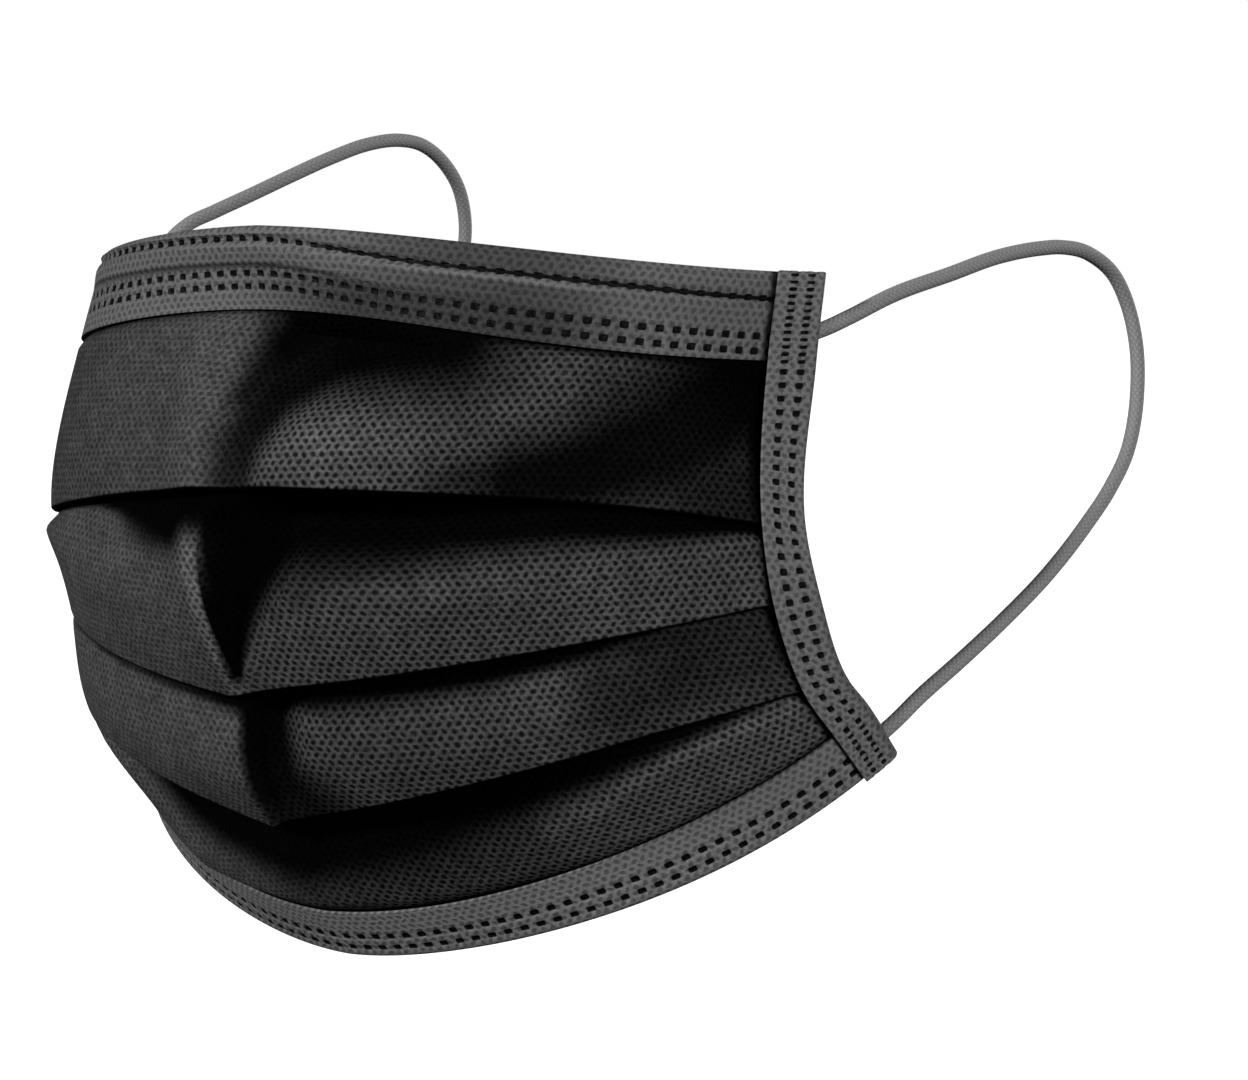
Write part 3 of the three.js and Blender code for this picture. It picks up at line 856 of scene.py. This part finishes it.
# Where a mark's pit begins and has its full depth, and where its dark begins and is full, both as
# the sum of two fourth powers that is 1 at its half length and at its half width.
PIT_WALL, MARK_EDGE = (1.9, 0.3), (1.5, 0.7)
GROOVE = dict(along=(8, 13, 81, 86), wall=(0.69, 0.23), edge=(0.46, 0.23), depth=0.8)
# In the top strip the rows run at a small slant to the edge: by how much they are off at first,
# and how much more of it comes in between two stations.
DRIFT_FIRST = -0.7
DRIFT_STEPS = ((-2, 30, 1.8), (50, 90, 0.4))


def bank(value, start, top, foot, end):
    """Rises from 0 at start to 1 at top, and goes from 1 at foot back to 0 at end."""
    return between(value, start, top) * between(value, end, foot)


def repeated(value, first, pitch):
    """value measured from the nearest of an endless row of marks."""
    return (value - first + pitch / 2) % pitch - pitch / 2


def rounded(along, across, half_along, half_across, edge):
    """1 in a rounded rectangle round 0, 0 and 0 outside it."""
    x, y = along / half_along, across / half_across
    return between(x * x * x * x + y * y * y * y, *edge)


def from_edge(u, v):
    """Distance from the top edge, as it would be if the rows ran along the edge."""
    drift = sum(between(u, start, end) * size for start, end, size in DRIFT_STEPS)
    return abs(v) - DRIFT_FIRST - drift


def strip_marks(u, distance, welds, edge):
    """Marks of the top or bottom strip. distance is from the strip's folded edge."""
    along = repeated(u, welds["first"], welds["pitch"])
    rows = [share * welds["height"] for share in welds["rows"]]
    return sum(rounded(along, distance - row, *MARK_HALVES, edge) for row in rows)


def groove(u, distance, edge):
    away = abs(distance - TOP_WELDS["rows"][0] * TOP_WELDS["height"])
    return between(away, *edge) * bank(u, *GROOVE["along"])


print("marks in a row:", int(2 * CLOTH_END / TOP_WELDS["pitch"]))

# %% [markdown]
# ## The top and bottom strips
# Each strip is folded over the cloth's edge: it starts on the inner face, turns at the edge and
# ends in a hem on the outer face. Over the nose the wire lifts the top one in a smooth rib, and
# its folded edge stands up in a lip above the groove. From station to station, shade is painted
# into the top strip's colour where the rib and lip turn away from the light beside the nose, and
# light where they catch it towards the cheek, with a painted highlight along the rib's upper edge.

# %% Top and bottom strips
TOP_REACH, BOTTOM_REACH = 10, 6
# The outer faces of the strips with their turns, as they were cut.
TOP_FACE, BOTTOM_FACE = 12.5, 8.6
STRIP_STEP = 0.36
EDGE_TURN_LINES = 7
# Each of these begins, is full, begins to go and ends at its four distances across the strip, or
# along it. Shades are painted shade, the shares of light taken from the colour by station, which
# are less than 0 where light is painted. The light along the rib's edge is a painted highlight.
LIP = dict(lift=0.25, across=(0, 0.6, 1.3, 1.8), lit=(2, 1.7), shade=(
    (-20, 0), (8, -0.15), (28, 0.6), (47, 0.58), (56, 0.2), (67, -0.4), (88, -0.4),
))
RIB = dict(
    lift=0.42, across=(2.6, 3.3, 5.5, 6), along=(-46, -38, 38, 46), lit=(2.5, 2.9, 5.55, 6.35),
    shade=(
        (-45, -0.6), (-11, -0.65), (8, -0.2), (28, 0.5), (47, 0.65), (56, 0.2), (67, -0.5),
        (88, -0.5),
    ),
)
RIDGE = dict(lift=0.4, across=(2.6, 3.1, 3.2, 6.2))
BELOW_RIB_PAINTED_SHADE = dict(shade=0.75, along=(-8, 20, 44, 66), across=(4.05, 7.05))
RIB_FOOT_PAINTED_SHADE = dict(shade=0.65, along=(28, 8), across=(5.1, 5.4, 5.7, 6))
RIB_EDGE_PAINTED_HIGHLIGHT = dict(light=1.1, along=(4, 14), across=(2.475, 2.825, 3.175, 3.525))

strip_stations = np.arange(-CLOTH_END, CLOTH_END + STRIP_STEP / 2, STRIP_STEP)


def top_relief(u, v):
    distance = from_edge(u, v)
    pits = strip_marks(u, distance, TOP_WELDS, PIT_WALL)
    if v <= 0:
        return -MARK_DEPTH * pits
    rib = RIB["lift"] * bank(distance, *RIB["across"]) * bank(u, *RIB["along"])
    lip = sum(form["lift"] * bank(distance, *form["across"]) for form in (LIP, RIDGE))
    pits = np.maximum(pits, GROOVE["depth"] * groove(u, distance, GROOVE["wall"]))
    return rib + lip - MARK_DEPTH * pits


def top_painted_shade(u, v):
    """Painted shade where the hollow beside the nose goes on up into the top strip, and painted light where the rib
    catches the light.
    """
    if v <= 0:
        return 0
    shade = BELOW_RIB_PAINTED_SHADE["shade"] * bank(u, *BELOW_RIB_PAINTED_SHADE["along"]) * between(v, *BELOW_RIB_PAINTED_SHADE["across"])
    v = from_edge(u, v)
    shade = mix(shade, eased(RIB["shade"], u), bank(v, *RIB["lit"]))
    shade = mix(shade, eased(LIP["shade"], u), between(v, *LIP["lit"]))
    # A line of painted shade at the rib's foot, and a painted highlight along its upper edge.
    foot = RIB_FOOT_PAINTED_SHADE["shade"] * bank(v, *RIB_FOOT_PAINTED_SHADE["across"]) * between(u, *RIB_FOOT_PAINTED_SHADE["along"])
    edge = RIB_EDGE_PAINTED_HIGHLIGHT["light"] * bank(v, *RIB_EDGE_PAINTED_HIGHLIGHT["across"]) * between(u, *RIB_EDGE_PAINTED_HIGHLIGHT["along"])
    return np.maximum(shade, foot) - edge


def bottom_relief(u, v):
    return -MARK_DEPTH * strip_marks(u, abs(v), BOTTOM_WELDS, PIT_WALL)


def edge_strip(name, row, edge_first, reach, welds, relief, shade=None):
    """row is the upper of the strip's two rows, and edge_first tells that it is the edge."""
    u = strip_stations
    height = welds["height"]
    length = spacing(row, u)
    lines, flats, painted_shades = [], [], []

    def place(distance, inward, v):
        part = distance / length if edge_first else 1 - distance / length
        lines.append(offset(row, u, part, inward))
        flats.append(np.stack([u, np.full_like(u, v)], axis=-1))
        # Painted shade along the side strips, and the top strip's own painted shade and light.
        painted_shades.append(np.maximum(side_painted_shade(u, row + part), shade(u, v) if shade else 0))

    for distance in evenly(reach, LAYER, STRIP_STEP):
        place(distance, 2 * LAYER + relief(u, -distance), -distance)
    for angle in half_turn(EDGE_TURN_LINES):
        distance, inward = LAYER - LAYER * math.sin(angle), LAYER + LAYER * math.cos(angle)
        place(distance, inward, (angle / math.pi - 0.5) * LAYER)
    for v in evenly(LAYER, height, STRIP_STEP):
        distance = LAYER + (v - LAYER) / (height - LAYER) * (length - LAYER)
        place(distance, -relief(u, v), v)
    return sheet(name, lines, flats, painted_shades)


top_strip = edge_strip("top_strip", 0, True, TOP_REACH, TOP_WELDS, top_relief, top_painted_shade)
bottom_strip = edge_strip(
    "bottom_strip", LAST - 1, False, BOTTOM_REACH, BOTTOM_WELDS, bottom_relief
)

# %% [markdown]
# ## The nose wire
# The soft wire is a flat strip between the two faces of the top strip. It hardly shows, but the
# rib above it does, so it is made as it is: a thin solid strip, bent with the top edge.

# %% Nose wire
WIRE_START, WIRE_END = 3.1, 5.6
WIRE_HALF_LENGTH = 42
WIRE_THICKNESS = 0.6
WIRE_STEP, WIRE_LINES = 1, 5

wire_stations = np.arange(-WIRE_HALF_LENGTH, WIRE_HALF_LENGTH + WIRE_STEP / 2, WIRE_STEP)
wire_rows = np.linspace(WIRE_START, WIRE_END, WIRE_LINES)
wire_band = spacing(0, wire_stations)
wire_points = [
    offset(0, wire_stations, distance / wire_band, LAYER - RIB["lift"] / 2)
    for distance in wire_rows
]
wire_flat = np.stack(np.meshgrid(wire_stations, wire_rows), axis=-1)
wire = sheet("nose_wire_strip", wire_points, wire_flat, thickness=WIRE_THICKNESS)

# %% [markdown]
# ## The side strips
# A side strip is folded round the side edge over everything else, the shut pleats and the ends of
# the other two strips. Its two rows of marks stand close together near the corners, where the
# loops are welded in, and further apart between them. The strip is a little wider at the top.

# %% Side strips
SIDE_STEP = 0.34
SIDE_SLACK = 0.1
SIDE_TURN_LINES = 11
SAMPLES_PER_ROW = 40
SIDE_MARKS = dict(rows=(2.3, 4.9), half_across=0.64)
CLOSE_MARKS = dict(first=0.6, pitch=1.1, half_along=0.34)
WIDE_MARKS = dict(first=1, pitch=2, half_along=0.52)
# How far from the top and the bottom corner the marks stand close.
CLOSE_TOP, CLOSE_BOTTOM = 14.3, 8

outer_face = LAYER + SIDE_SLACK
inner_face = -3 * LAYER - SIDE_SLACK
side_radius = (outer_face - inner_face) / 2
side_turn = HALF_WIDTH - PLY / 2 - side_radius
middle_width = sum(SIDE_WIDTH) / 2
face_width = middle_width - (HALF_WIDTH - side_turn)
cut_width = 2 * face_width + side_radius * math.pi


def side_line(station):
    """Distances down the mask at one station, and the place of each, counted in rows."""
    places = np.linspace(0, LAST, SAMPLES_PER_ROW * LAST + 1)
    rows = np.minimum(places.astype(int), LAST - 1)
    points = np.array([skeleton(r, np.array([station]), p - r)[0][0] for r, p in zip(rows, places)])
    return distances(points), places


side_reach, side_places = side_line(HALF_WIDTH - middle_width / 2)
side_length = side_reach[-1]


def side_marks(u, v, edge):
    """Marks of a side strip, on both its faces. u runs round the fold and v down the strip."""
    top, bottom = CLOSE_TOP, side_length - CLOSE_BOTTOM
    zones = (
        (-math.inf, top, 0, CLOSE_MARKS), (top, bottom, top, WIDE_MARKS),
        (bottom, math.inf, bottom, CLOSE_MARKS),
    )
    found = 0
    for start, end, corner, kind in zones:
        along = repeated(v, corner + kind["first"], kind["pitch"])
        sizes = kind["half_along"], SIDE_MARKS["half_across"], edge
        for row in SIDE_MARKS["rows"]:
            for middle in (row, cut_width - row):
                marks = rounded(along, u - middle, *sizes)
                found = marks * ((v > start) * (v < end)) + found
    return found


def surface(side, station, where):
    """Points and normals at stations and places down the mask, one of each per section."""
    points, normals = np.empty((len(where), 3)), np.empty((len(where), 3))
    rows = np.minimum(where.astype(int), LAST - 1)
    for row in range(LAST):
        here = rows == row
        found = skeleton(row, side * np.minimum(station[here], HALF_WIDTH), where[here] - row)
        points[here], normals[here] = found[0], found[2]
    return points, normals


def side_strip(name, side):
    v = evenly(0, side_length, SIDE_STEP)
    where = np.interp(v, side_reach, side_places)
    inner_edge = side_inner_edge(where)
    lines, flats = [], []

    def place(station, outward, u, face):
        """face is 1 outside, -1 inside and 0 on the turn, which has no marks."""
        points, normals = surface(side, station, where)
        pits = MARK_DEPTH * side_marks(u, v, PIT_WALL) * face
        lines.append(points + normals * (outward - pits)[:, None])
        flats.append(np.stack([np.full_like(v, u), v], axis=-1))

    widths = evenly(0, face_width, SIDE_STEP)
    for u in widths:
        place(mix(inner_edge, side_turn, u / face_width), outer_face, u, 1)
    for angle in half_turn(SIDE_TURN_LINES):
        station = np.full_like(v, side_turn + side_radius * math.sin(angle))
        outward = (outer_face + inner_face) / 2 + side_radius * math.cos(angle)
        place(station, outward, face_width + side_radius * angle, 0)
    for u in widths[::-1]:
        place(mix(inner_edge, side_turn, u / face_width), inner_face, cut_width - u, -1)
    return sheet(name, lines, flats)


side_strips = {
    "side_binding_left": side_strip("side_strip_left", 1),
    "side_binding_right": side_strip("side_strip_right", -1),
}

# %% [markdown]
# ## Writing finishes
# A finish is a network of shader nodes. Small sums such as 1 - mask would take many nodes and
# links, so a socket is wrapped in a class whose operators add the Math nodes. Every other node
# comes from one method, which takes its type, its settings and what goes into its sockets.
#
# All finishes end alike, in one more method: each amount, such as a noise or a mask, takes the
# light that is given back from one share to another, and may change the roughness and the height.
# A finish is then a table of those numbers.

# %% Shader helpers
def adds(operation, reflected=False):
    """A method for an operator, which adds one Math node."""

    def method(self, *others):
        values = (*others, self) if reflected else (self, *others)
        return self.finish.node("ShaderNodeMath", {"operation": operation}, dict(enumerate(values)))

    return method


class Signal:
    """One output socket, to be used in Python expressions."""

    def __init__(self, finish, socket):
        self.finish = finish
        self.socket = socket

    __add__ = __radd__ = adds("ADD")
    __mul__ = __rmul__ = adds("MULTIPLY")
    __sub__, __rsub__ = adds("SUBTRACT"), adds("SUBTRACT", reflected=True)
    __truediv__, __rtruediv__ = adds("DIVIDE"), adds("DIVIDE", reflected=True)
    __mod__, __rmod__ = adds("FLOORED_MODULO"), adds("FLOORED_MODULO", reflected=True)
    __lt__, __gt__ = adds("LESS_THAN"), adds("GREATER_THAN")
    __abs__, sine, larger = adds("ABSOLUTE"), adds("SINE"), adds("MAXIMUM")

    def between(self, start, end):
        """Rises smoothly from 0 at start to 1 at end, which may be the smaller one."""
        sockets = {"Value": self, "From Min": start, "From Max": end}
        return self.finish.node("ShaderNodeMapRange", {"interpolation_type": "SMOOTHSTEP"}, sockets)


class Finish:
    """A material with its Principled shader, whose other nodes are added by node()."""

    def __init__(self, name, **constants):
        self.material = bpy.data.materials.new(name)
        self.material.use_nodes = True
        self.tree = self.material.node_tree
        self.shader = self.tree.nodes["Principled BSDF"]
        for socket, value in constants.items():
            self.shader.inputs[socket.replace("_", " ")].default_value = value

    def feed(self, socket, value):
        if isinstance(value, Signal):
            self.tree.links.new(value.socket, socket)
        else:
            socket.default_value = value

    def node(self, kind, settings=None, sockets=None, output=0):
        node = self.tree.nodes.new(kind)
        for setting, value in (settings or {}).items():
            setattr(node, setting, value)
        for socket, value in (sockets or {}).items():
            self.feed(node.inputs[socket], value)
        return Signal(self, node.outputs[output])

    def flat(self):
        """The place on the flat cloth in mm."""
        return self.node("ShaderNodeUVMap", {"uv_map": "Flat"})

    def split(self, vector):
        """The first two numbers of a vector."""
        node = self.node("ShaderNodeSeparateXYZ", None, {0: vector}).socket.node
        return Signal(self, node.outputs[0]), Signal(self, node.outputs[1])

    # The painted shade and highlight that the mesh carries.
    def painted_shading(self):
        return self.node("ShaderNodeAttribute", {"attribute_name": "PaintedShading"}, output="Fac")

    def noise(self, place, scale, detail=2, output=0):
        sockets = {"Vector": place, "Scale": scale, "Detail": detail}
        return self.node("ShaderNodeTexNoise", {"noise_dimensions": "2D"}, sockets, output)

    def paint(self, amounts, greys, light, rough, heights):
        """light and rough give the shares where an amount is 0 and 1, and heights are in mm.
        A roughness that is the same all over is a number."""

        def shares(table):
            named = (name for name in table if name in amounts)
            return math.prod(mix(*table[name], amounts[name]) for name in named)

        dark, bright = [(grey, grey, grey, 1) for grey in greys]
        settings = {"data_type": "RGBA", "clamp_factor": False}
        sockets = {0: shares(light), 6: dark, 7: bright}  # the sockets for colours have no own name
        colour = self.node("ShaderNodeMix", settings, sockets, output=2)
        height = sum(amounts[name] * size for name, size in heights.items())
        bump = self.node("ShaderNodeBump", None, {"Height": height, "Strength": 1, "Distance": MM})
        rough = shares(rough) if isinstance(rough, dict) else rough
        for socket, value in {"Base Color": colour, "Roughness": rough, "Normal": bump}.items():
            self.feed(self.shader.inputs[socket], value)
        print(f"{self.material.name}: {len(self.tree.nodes)} nodes")
        return self.material


# %% [markdown]
# ## The cloth's finish
# Spun plastic fibres are bonded by a hot roller with rows of small slanted points. Each point is
# pressed flat and looks nearly black, and the fluffy net between the points is dark grey. Every
# second row is shifted by half a step and slants the other way, so the pattern is two grids of
# ellipses laid over each other.
#
# Such cloth is uneven at every scale. One noise moves the points a little and one fades some of
# them. Others give the fibres, the tufts between the points, soft clouds and wide patches. On the
# wearer's right the points are pressed less deep and look fainter.

# %% Cloth finish
POINTS = dict(across=1.4, down=1.9, lean=32, half_long=0.42, half_wide=0.3, edge=(2.1, 0.1))
STRAY_SCALE, CLOTH_STRAY = 0.5, 0.5
# How fine each noise is, and its detail.
CLOTH_NOISES = dict(
    fibres=(2.6, 3), patches=(0.06, 2), clouds=(0.3, 2), tufts=(1.4, 2), fading=(0.9, 2)
)
TUFTS, FADING = (0.3, 0.7), (0.2, 0.5)
FADED = (0.65, 1)
FAINT_FROM, FAINT = (-10, 13), (0.55, 1)
# nook takes light away where shade is painted, and adds it where a highlight is painted.
CLOTH = dict(
    greys=(0, 0.049),
    light=dict(
        fibres=(0.6, 1.5), patches=(0.8, 1.2), clouds=(0.65, 1.35), tufts=(0.76, 1.2),
        points=(1, 0.1), painted_shading=(1, 0.015),
    ),
    rough=dict(points=(0.86, 0.66)),
    heights=dict(fibres=0.05, points=-0.11),
)


def pressed_points(u, v):
    """1 in the middle of a pressed point and 0 on the net between them."""
    found = 0
    for shift, lean in ((0.5, POINTS["lean"]), (0, -POINTS["lean"])):
        x = repeated(u, shift * POINTS["across"], POINTS["across"])
        y = repeated(v, shift * POINTS["down"], POINTS["down"])
        cosine, sine = math.cos(math.radians(lean)), math.sin(math.radians(lean))
        along = (x * cosine + y * sine) / POINTS["half_long"]
        across = (y * cosine - x * sine) / POINTS["half_wide"]
        found = between(along * along + across * across, *POINTS["edge"]) + found
    return found


def uneven_points(finish, place, reach):
    """Pressed points that noise moves by up to half of reach, in mm."""
    strays = finish.split(finish.noise(place, STRAY_SCALE, output="Color"))
    return pressed_points(*(x + (s - 0.5) * reach for x, s in zip(finish.split(place), strays)))


def cloth_finish():
    finish = Finish("cloth", Specular_IOR_Level=0.01)
    place = finish.flat()
    amounts = {name: finish.noise(place, *noise) for name, noise in CLOTH_NOISES.items()}
    amounts["tufts"] = between(amounts["tufts"], *TUFTS)
    points = uneven_points(finish, place, CLOTH_STRAY)
    points = points * mix(*FADED, between(amounts["fading"], *FADING))
    amounts["points"] = points * mix(*FAINT, between(finish.split(place)[0], *FAINT_FROM))
    # The painted shade and highlight from the mesh.
    amounts["painted_shading"] = finish.painted_shading()
    return finish.paint(amounts, **CLOTH)


body.data.materials.append(cloth_finish())

# %% [markdown]
# ## The strips' finish
# The strips are cut from a lighter, denser cloth with the same pressed points, much fainter. The
# weld marks are melted through to the black cloth. Each kind of strip has its own layout of
# marks, given as a function, and the rest is shared. Shade is painted along a side strip's sharp
# outer fold, and the bottom and side strips are painted a lighter grey than the top strip, which
# the lamps reach more.

# %% Strip finish
STRIP_STRAY = 0.7
STRIP_NOISES = dict(fibres=(1.6, 3), grain=(4.5, 2))
# nook darkens where shade is painted on the top and bottom strips, and fold where shade is painted along a side
# strip's fold.
STRIP = dict(
    light=dict(
        points=(1, 0.5), fibres=(0.58, 1.08), grain=(0.75, 1.25), marks=(1, 0.02), painted_shading=(1, 0.05),
        fold=(1, 0.5),
    ),
    rough=dict(marks=(0.8, 0.55)),
    heights=dict(fibres=0.06, points=-0.06),
)
# How far from the middle of the side strip's fold the painted shade begins, and where it is full.
SIDE_FOLD_PAINTED_SHADE = (2.7, 1.7)
# The strips are one cloth: the bottom and side strips are painted lighter than the top one, which the lamps reach
# more.
TOP_GREY, BOTTOM_GREY_PAINTED_LIGHTER, SIDE_GREY_PAINTED_LIGHTER = 0.125, 0.165, 0.16


def top_marks(u, v):
    distance = from_edge(u, v)
    marks = strip_marks(u, distance, TOP_WELDS, MARK_EDGE)
    return marks.larger(groove(u, distance, GROOVE["edge"]))


def bottom_marks(u, v):
    return strip_marks(u, abs(v), BOTTOM_WELDS, MARK_EDGE)


def strip_finish(name, lightest, marks=None):
    """A strip without a layout of marks is a side strip."""
    finish = Finish(name, Specular_IOR_Level=0.05)
    place = finish.flat()
    u, v = finish.split(place)
    amounts = {name: finish.noise(place, *noise) for name, noise in STRIP_NOISES.items()}
    amounts["points"] = uneven_points(finish, place, STRIP_STRAY)
    if marks:
        amounts["marks"] = marks(u, v)
        amounts["painted_shading"] = finish.painted_shading()
    else:
        amounts["marks"] = side_marks(u, v, MARK_EDGE)
        # Painted shade along the side strip's sharp outer fold.
        amounts["fold"] = between(abs(u - cut_width / 2), *SIDE_FOLD_PAINTED_SHADE)
    return finish.paint(amounts, greys=(0, lightest), **STRIP)


top_strip.data.materials.append(strip_finish("top_strip_cloth", TOP_GREY, top_marks))
bottom_strip.data.materials.append(strip_finish("bottom_strip_cloth", BOTTOM_GREY_PAINTED_LIGHTER, bottom_marks))
side_cloth = strip_finish("side_strip_cloth", SIDE_GREY_PAINTED_LIGHTER)
for strip in side_strips.values():
    strip.data.materials.append(side_cloth)

# %% [markdown]
# ## The elastic's and the wire's finish
# The elastic is knitted round a rubber core: short stitches lean to and fro round the cord. Two
# sets of slanting waves make them, with a whole number of waves round the cord so that no seam
# shows. The wire has a thin plastic coat over drawn metal, with faint lines along it.

# %% Elastic and wire finish
STITCHES_ROUND = 8
STITCH_LENGTH = 1.1
FUZZ_SCALE, DRAWN_SCALE = 3.2, 1
DRAWN_STRETCH = (0.15, 9, 1)
ELASTIC = dict(
    greys=(0, 0.19), light=dict(stitches=(0.75, 1.05), fuzz=(0.75, 1.25)),
    rough=dict(stitches=(0.9, 0.8)), heights=dict(stitches=0.06, fuzz=0.04),
)
COATED_WIRE = dict(
    greys=(0.3, 0.5), light=dict(drawn=(0, 1)), rough=dict(drawn=(0.3, 0.6)),
    heights=dict(drawn=0.02),
)


def elastic_finish():
    finish = Finish("elastic", Specular_IOR_Level=0.2)
    place = finish.flat()
    u, v = finish.split(place)
    around, along = u * (STITCHES_ROUND / CORD_DIAMETER), v * (math.pi / STITCH_LENGTH)
    stitches = abs((around + along).sine()) * abs((around - along).sine())
    fuzz = finish.noise(place, FUZZ_SCALE, detail=3)
    return finish.paint({"stitches": stitches, "fuzz": fuzz}, **ELASTIC)


def wire_finish():
    finish = Finish("coated_wire", Metallic=0.6, Specular_IOR_Level=0.5)
    stretch = {"Vector": finish.flat(), "Scale": DRAWN_STRETCH}
    place = finish.node("ShaderNodeMapping", {"vector_type": "POINT"}, stretch)
    return finish.paint({"drawn": finish.noise(place, DRAWN_SCALE)}, **COATED_WIRE)


elastic = elastic_finish()
for loop in loops.values():
    loop.data.materials.append(elastic)
wire.data.materials.append(wire_finish())

# %% [markdown]
# ## Floor and light
# The mask keeps the form that it has on a face, so it hangs well above a plain pale floor. Three
# soft lights are used: one fairly low in front, which rakes across the pleats, one from the
# wearer's left for the side strip and the loop, and a weak one from behind for the inside. The
# floor takes light but gives none back, so that the undersides of the folds stay dark.

# %% Floor, lights and background
FLOOR_DROP = 0.1
FLOOR_SIZE = 40
FLOOR_GRAIN = 30
PALE_FLOOR = dict(
    greys=(0.86, 0.92), light=dict(grain=(0, 1)), rough=0.9, heights=dict(grain=0.05)
)
LIGHTS = dict(
    key=dict(azimuth=-24, elevation=22, power=3.7, softness=10),
    fill=dict(azimuth=70, elevation=14, power=2.7, softness=20),
    back=dict(azimuth=170, elevation=24, power=2.2, softness=30),
)
ROOM_LIGHT = 0.04

bpy.ops.mesh.primitive_plane_add(size=FLOOR_SIZE, location=(0, 0, cad_low.z - FLOOR_DROP))
floor = bpy.context.object
floor.name = "floor"
floor.visible_diffuse = False
floor.visible_glossy = False
floor_finish = Finish("pale_floor", Specular_IOR_Level=0.1, Emission_Strength=0.4)
floor_place = floor_finish.node("ShaderNodeTexCoord", output="Object")
floor_grain = floor_finish.noise(floor_place, FLOOR_GRAIN)
floor.data.materials.append(floor_finish.paint({"grain": floor_grain}, **PALE_FLOOR))
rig.stage(floor)

for name, form in LIGHTS.items():
    data = bpy.data.lights.new(name, "SUN")
    data.energy = form["power"]
    data.angle = math.radians(form["softness"])
    light = bpy.data.objects.new(name, data)
    light.location = bearing(form["azimuth"], form["elevation"])
    light.rotation_euler = light.location.to_track_quat("Z", "Y").to_euler()
    bpy.context.scene.collection.objects.link(light)
    print(name, "light:", form)

world = bpy.data.worlds.new("studio")
world.use_nodes = True
nodes, links = world.node_tree.nodes, world.node_tree.links
seen, given = nodes["Background"], nodes.new("ShaderNodeBackground")
given.inputs["Strength"].default_value = ROOM_LIGHT
choice = nodes.new("ShaderNodeMixShader")
links.new(nodes.new("ShaderNodeLightPath").outputs["Is Camera Ray"], choice.inputs[0])
for slot, background in ((1, given), (2, seen)):
    background.inputs["Color"].default_value = (1, 1, 1, 1)
    links.new(background.outputs[0], choice.inputs[slot])
links.new(choice.outputs[0], nodes["World Output"].inputs[0])
bpy.context.scene.world = world
bpy.context.scene.view_settings.view_transform = "Standard"

# %% [markdown]
# ## What each piece stands for
# Every piece rides on the mask's one body, takes the place of its plain solid in the packed
# model and gets its slot. The cloth pieces and loops also say what they are: a sheet with the
# size it was cut to, or a cord with its length.

# %% Ride, replace and declare
made = [
    (body, "mask_body", "cloth"), (top_strip, "top_binding", "binding"),
    (bottom_strip, "bottom_binding", "binding"), (wire, "nose_wire", "wire"),
    *((strip, node, "binding") for node, strip in side_strips.items()),
    *((loop, node, "elastic") for node, loop in loops.items()),
]
for piece, node, slot in made:
    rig.ride(piece, "root")
    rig.replaces(piece, node)
    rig.slot(piece, slot)

across = 2 * CLOTH_END
sheets = [
    (body, (across, flat_length), list(side_strips.values())),
    (top_strip, (across, TOP_REACH + TOP_FACE), [body]),
    (bottom_strip, (across, BOTTOM_REACH + BOTTOM_FACE), [body]),
    *((strip, (side_length, cut_width), [body]) for strip in side_strips.values()),
]
for piece, (width, length), rests_on in sheets:
    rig.sheet(piece, flat=(width * MM, length * MM), held="folded", rests_on=rests_on)
    print(f"{piece.name}: cut to {width:.1f} x {length:.1f} mm")

for name, piece in loops.items():
    line = loop_lines[name] * MM
    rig.cord(
        piece,
        exit=line[0],
        length=float(distances(line)[-1]),
        diameter=CORD_DIAMETER * MM,
        far_end="object",
        stiffness="limp",
        lay="taut",
        path=line,
    )

# %% Finish
low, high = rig.bounds()
with open("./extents.json", "w") as file:
    json.dump({"cad": [list(cad_low), list(cad_high)], "visual": [list(low), list(high)]}, file)
print("visual size in mm:", [round(side / MM, 1) for side in high - low])
